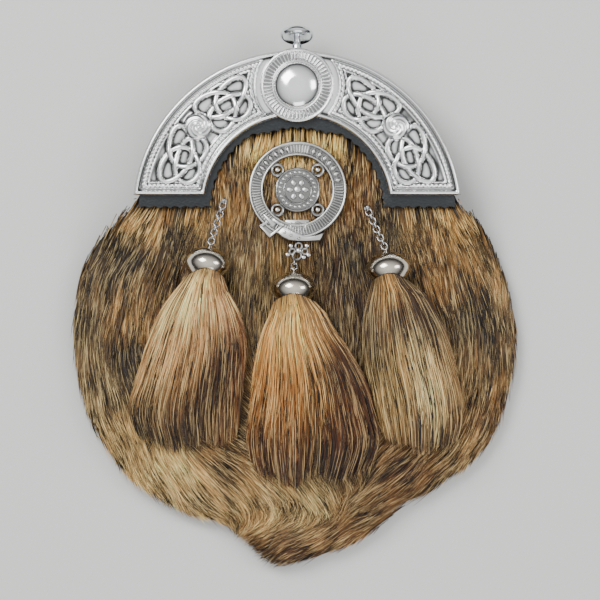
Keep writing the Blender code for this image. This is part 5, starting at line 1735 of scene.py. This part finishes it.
def leather_pieces(body):
    """The back and the front of the pouch."""

    def over_back(x, y):
        share = np.hypot(x, y - HUB_Y) / pouch_reach(turn_of(x, y))
        return back_z(x, y) + WALL * np.sqrt(np.clip(1.0 - ease(share, 0.97, 1.0) * 0.6, 0.1, 1.0))

    def under_front(x, y):
        return dome_z(x, y) - WALL

    back = polar_shell("pouch_back", back_z, over_back, pouch_reach, body)
    front = polar_shell("pouch_front", under_front, dome_z, pouch_reach, body, 72, 12)
    return back, front


def gusset_piece(leather):
    """The side wall between back and front, with rounded edges, open under the arch."""
    turns = np.linspace(-POUCH_TURN, POUCH_TURN, 121)
    reach = pouch_reach(turns)
    x0, y0 = np.sin(np.radians(turns)), -np.cos(np.radians(turns))
    rings = []
    for inset, share in GUSSET_SECTION:
        away = reach - inset
        x, y = away * x0, HUB_Y + away * y0
        low = back_z(x, y) + WALL + GAP
        high = rim_z(turns) - WALL - GAP
        rings.append(np.stack([x, y, mix(low, high, share)], axis=1))
    points = np.stack(rings, axis=1)
    count, per = points.shape[:2]
    index = np.arange(count * per).reshape(count, per)
    following = np.roll(index, -1, axis=1)
    quads = np.stack([index[:-1], following[:-1], following[1:], index[1:]], axis=2).reshape(-1, 4)
    corners = np.concatenate([quads.ravel(), index[0][::-1], index[-1]])
    sizes = np.concatenate([np.full(len(quads), 4), [per, per]])
    return mesh_from("pouch_gusset", points.reshape(-1, 3), corners, leather, sizes=sizes)


def belt_loop_piece(name, node, leather):
    """One strap loop on the back, its edges softened."""
    bm = bmesh.new()
    bm.from_mesh(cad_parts[node].data)
    bmesh.ops.remove_doubles(bm, verts=bm.verts, dist=1e-6)
    bmesh.ops.dissolve_limit(
        bm, angle_limit=math.radians(1.0), verts=bm.verts, edges=bm.edges
    )
    edges = [e for e in bm.edges if e.is_manifold and e.calc_face_angle(0.0) > math.radians(60)]
    bmesh.ops.bevel(
        bm, geom=edges, offset=0.0005, segments=2, profile=0.5, affect="EDGES", material=-1
    )
    mesh = bpy.data.meshes.new(name)
    bm.to_mesh(mesh)
    bm.free()
    mesh.shade_smooth()
    mesh.set_sharp_from_angle(angle=math.radians(50.0))
    return linked(mesh, leather)


def stitch(bm, at, along, long, wide):
    """One stitch: a short thread, thinner at both ends."""
    half = long / 2
    profile = ((-half, 0.0), (0.3 - half, wide / 2), (half - 0.3, wide / 2), (half, 0.0))
    lie = facing_matrix(at, along, (0, 0, 1)) @ Matrix.Rotation(math.pi / 2, 4, "Y")
    turned(bm, profile, 6, lie)


def stitches_piece(thread):
    """Stitches round the back's edge and across the feet of the belt loops."""
    bm = bmesh.new()
    for turn in np.linspace(-POUCH_TURN + 4.0, POUCH_TURN - 4.0, SEAM_STITCHES):
        away = float(pouch_reach(turn)) - SEAM_IN
        a = math.radians(turn)
        x, y = away * math.sin(a), HUB_Y - away * math.cos(a)
        stitch(bm, (x, y, float(back_z(x, y)) - 0.02), (math.cos(a), math.sin(a), 0.0), 2.2, 0.7)
    for side in (-1, 1):
        for foot in LOOP_ROWS_Y:
            for i in range(LOOP_STITCHES):
                x = side * LOOP_X + (i - (LOOP_STITCHES - 1) / 2) * LOOP_STITCH_PITCH
                stitch(bm, (x, foot, LOOP_TOP_Z), (1, 0, 0), 2.0, 0.6)
    return object_of("pouch_stitches", bm, thread)


class SPORRAN_OT_leather(bpy.types.Operator):
    """Build the leather pouch, its belt loops and the pinked facing."""

    bl_idname = "sporran.leather"
    bl_label = "Leather"

    def execute(self, context):
        finish = context.scene.sporran_finish
        body = leather_material("pouch_leather_look", finish.pouch)
        strap = leather_material("loop_leather_look", finish.loops)
        black = leather_material("facing_leather_look", finish.facing, 0.0011, 0.5)
        thread, _ = new_material("thread_look", finish.thread, 0.0, 0.7)
        back, front = leather_pieces(body)
        kept(back, "pouch_leather", "back_panel")
        kept(front, "pouch_leather", "front_panel")
        kept(gusset_piece(body), "pouch_leather", "gusset")
        for word in ("left", "right"):
            loop = belt_loop_piece(f"strap_loop_{word}", f"belt_loop_{word}", strap)
            kept(loop, "loop_leather", f"belt_loop_{word}")
        kept(stitches_piece(thread), "pouch_leather")
        kept(facing_piece(black), "black_leather", "leather_facing")
        return {"FINISHED"}


class SPORRAN_OT_fur(bpy.types.Operator):
    """Build the hide and the coat's hair."""

    bl_idname = "sporran.fur"
    bl_label = "Fur coat"

    def execute(self, context):
        settings = context.scene.sporran_fur
        # The hide's dark colour also paints shade in the gaps between the clumps of hair.
        skin_and_shade_colour = context.scene.sporran_finish.hide
        hide, _ = new_material("hide_look", skin_and_shade_colour, 0.0, 0.9, 0.1)

        def over(x, y):
            inside = np.minimum(fur_z(x, y) - 2.6, hair_cap(x, y) - 0.4)
            return np.maximum(inside, hide_z(x, y) + 0.4)

        skin = polar_shell("fur_hide", hide_z, over, hide_reach, hide, 144, 30)
        kept(skin, "fur", "fur_coat")
        hair = hair_material("fur_look")
        paths, wide, tones, tilt = coat_strands(settings)
        middle = paths[:, paths.shape[1] // 2]
        left, lower = middle[:, 0] < 0.0, middle[:, 1] < -28.0
        for word, inside in (
            ("upper_left", left & ~lower),
            ("upper_right", ~left & ~lower),
            ("lower_left", left & lower),
            ("lower_right", ~left & lower),
        ):
            piece = strand_mesh(
                f"fur_{word}", paths[inside], wide[inside], tones[inside], tilt[inside], hair
            )
            kept(piece, "fur", "fur_coat")
        return {"FINISHED"}


def hide_reach(turn):
    """Edge of the hide: within the hair, and under the facing at the top."""
    angle = np.radians(turn)
    rise = INNER_CENTRE_Y - HUB_Y
    along = -rise * np.cos(angle)
    inside = np.maximum(along * along - rise * rise + (FACING_R + 3.0) ** 2, 0.0)
    to_arch = np.where(inside > 0.0, along + np.sqrt(inside), 0.0)
    to_foot = (FACING_FOOT_Y + 3.0 - HUB_Y) / np.maximum(-np.cos(angle), 1e-3)
    limit = np.where(np.cos(angle) < 0.0, np.maximum(to_arch, to_foot), np.inf)
    return np.minimum(fur_reach(turn) - 4.0, limit)


class SPORRAN_OT_tassels(bpy.types.Operator):
    """Build the three hair tassels."""

    bl_idname = "sporran.tassels"
    bl_label = "Tassels"

    def execute(self, context):
        settings = context.scene.sporran_fur
        hair = hair_material("tassel_look", 0.45)
        for number, row in enumerate(BELLS):
            rng = np.random.default_rng(40 + number)
            paths, wide, tones, tilt = tassel_strands(row, settings, rng)
            piece = strand_mesh(f"tassel_hair_{row[0]}", paths, wide, tones, tilt, hair)
            kept(piece, "tassel_hair", f"tassel_{row[0]}")
        return {"FINISHED"}


class SPORRAN_OT_arch(bpy.types.Operator):
    """Build the arch with its relief and the knob."""

    bl_idname = "sporran.arch"
    bl_label = "Arch"

    def execute(self, context):
        finish = context.scene.sporran_finish
        silver = metal_material("silver_look", finish.silver, SILVER_ROUGH, SILVER_TARNISH_AND_SHADE)
        plain = metal_material("knob_look", finish.knob, KNOB_ROUGH)
        kept(arch_piece(silver), "silver", "cantle")
        kept(knob_piece(plain), "silver", "knob")
        return {"FINISHED"}


class SPORRAN_OT_badge(bpy.types.Operator):
    """Build the pierced badge."""

    bl_idname = "sporran.badge"
    bl_label = "Badge"

    def execute(self, context):
        colour = context.scene.sporran_finish.pewter
        pewter = metal_material("pewter_look", colour, PEWTER_ROUGH, PEWTER_TARNISH_AND_SHADE)
        kept(badge_piece(pewter), "pewter", "badge")
        return {"FINISHED"}


class SPORRAN_OT_bells(bpy.types.Operator):
    """Build the bells and their chains."""

    bl_idname = "sporran.bells"
    bl_label = "Bells and chains"

    def execute(self, context):
        finish = context.scene.sporran_finish
        nickel = metal_material("nickel_look", finish.nickel, NICKEL_ROUGH)
        steel = metal_material("steel_look", finish.steel, STEEL_ROUGH)
        for row in BELLS:
            kept(bell_piece(row, nickel), "dark_nickel", f"bell_{row[0]}")
        links = [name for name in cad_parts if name.startswith("chain_")]
        kept(chains_piece(steel), "chain_steel", *sorted(links))
        return {"FINISHED"}


def softbox(name, at, aim, wide, power):
    """A square area light that faces a point."""
    light = bpy.data.lights.new(name, "AREA")
    light.size = wide
    light.energy = power
    lamp = bpy.data.objects.new(name, light)
    lamp.location = at
    lamp.rotation_mode = "QUATERNION"
    lamp.rotation_quaternion = (Vector(aim) - Vector(at)).to_track_quat("-Z", "Y")
    bpy.context.scene.collection.objects.link(lamp)
    return lamp


def studio_sky():
    """A world that is bright overhead and dark toward the ground."""
    world = bpy.data.worlds.new("studio")
    world.use_nodes = True
    sky = world.node_tree.nodes["Background"]
    where = add_node(world, "ShaderNodeTexCoord")
    split = add_node(world, "ShaderNodeSeparateXYZ")
    ramp = add_node(world, "ShaderNodeValToRGB")
    for stop, (height, colour) in zip(ramp.color_ramp.elements, SKY):
        stop.position = height
        stop.color = colour
    join(world, where.outputs["Generated"], split.inputs["Vector"])
    join(world, split.outputs["Z"], ramp.inputs["Fac"])
    join(world, ramp.outputs["Color"], sky.inputs["Color"])
    return world


class SPORRAN_OT_stage(bpy.types.Operator):
    """Set the floor, lights, world and camera."""

    bl_idname = "sporran.stage"
    bl_label = "Stage"

    def execute(self, context):
        stage = context.scene.sporran_stage
        bm = bmesh.new()
        below = Matrix.Translation((0, 0, -FLOOR_DROP))
        bmesh.ops.create_grid(bm, x_segments=1, y_segments=1, size=FLOOR_HALF, matrix=below)
        pale, _ = new_material("floor_look", (0.86, 0.86, 0.85), 0.0, 0.8, 0.2)
        floor = object_of("floor", bm, pale, smooth=False)
        context.scene.world = studio_sky()
        for name, at, size, share in LIGHTS:
            softbox(name, at, LIT_POINT, size, stage.key_power * share)
        camera = bpy.data.cameras.new("camera")
        camera.lens = stage.lens
        camera.sensor_width = SENSOR
        away = stage.seen_wide * stage.lens / SENSOR
        camera.clip_end = away * 10.0
        x, y, z = in_frame(AIM)
        holder = bpy.data.objects.new("camera", camera)
        holder.location = (x, y, z + away)
        holder.rotation_euler = (0.0, 0.0, stage.roll)
        context.scene.collection.objects.link(holder)
        context.scene.camera = holder
        return {"FINISHED"}


class SPORRAN_PT_pieces(bpy.types.Panel):
    """Lists the settings and the pieces."""

    bl_label = "Sporran pouch"
    bl_space_type = "VIEW_3D"
    bl_region_type = "UI"
    bl_category = "Sporran"

    def draw(self, context):
        scene = context.scene
        for settings in (scene.sporran_fur, scene.sporran_finish, scene.sporran_stage):
            box = self.layout.box()
            for key in settings.__annotations__:
                box.prop(settings, key)
        for operator in OPERATORS:
            self.layout.operator(operator.bl_idname)


SETTINGS = (FurSettings, FinishSettings, StageSettings)
OPERATORS = (
    SPORRAN_OT_leather,
    SPORRAN_OT_fur,
    SPORRAN_OT_tassels,
    SPORRAN_OT_arch,
    SPORRAN_OT_badge,
    SPORRAN_OT_bells,
    SPORRAN_OT_stage,
)
CLASSES = (*SETTINGS, *OPERATORS, SPORRAN_PT_pieces)


def register():
    for cls in CLASSES:
        bpy.utils.register_class(cls)
    bpy.types.Scene.sporran_fur = PointerProperty(type=FurSettings)
    bpy.types.Scene.sporran_finish = PointerProperty(type=FinishSettings)
    bpy.types.Scene.sporran_stage = PointerProperty(type=StageSettings)


def unregister():
    del bpy.types.Scene.sporran_stage
    del bpy.types.Scene.sporran_finish
    del bpy.types.Scene.sporran_fur
    for cls in reversed(CLASSES):
        bpy.utils.unregister_class(cls)


def main():
    register()
    bpy.ops.sporran.leather()
    bpy.ops.sporran.fur()
    bpy.ops.sporran.tassels()
    bpy.ops.sporran.arch()
    bpy.ops.sporran.badge()
    bpy.ops.sporran.bells()
    bpy.ops.sporran.stage()


if __name__ == "__main__":
    main()
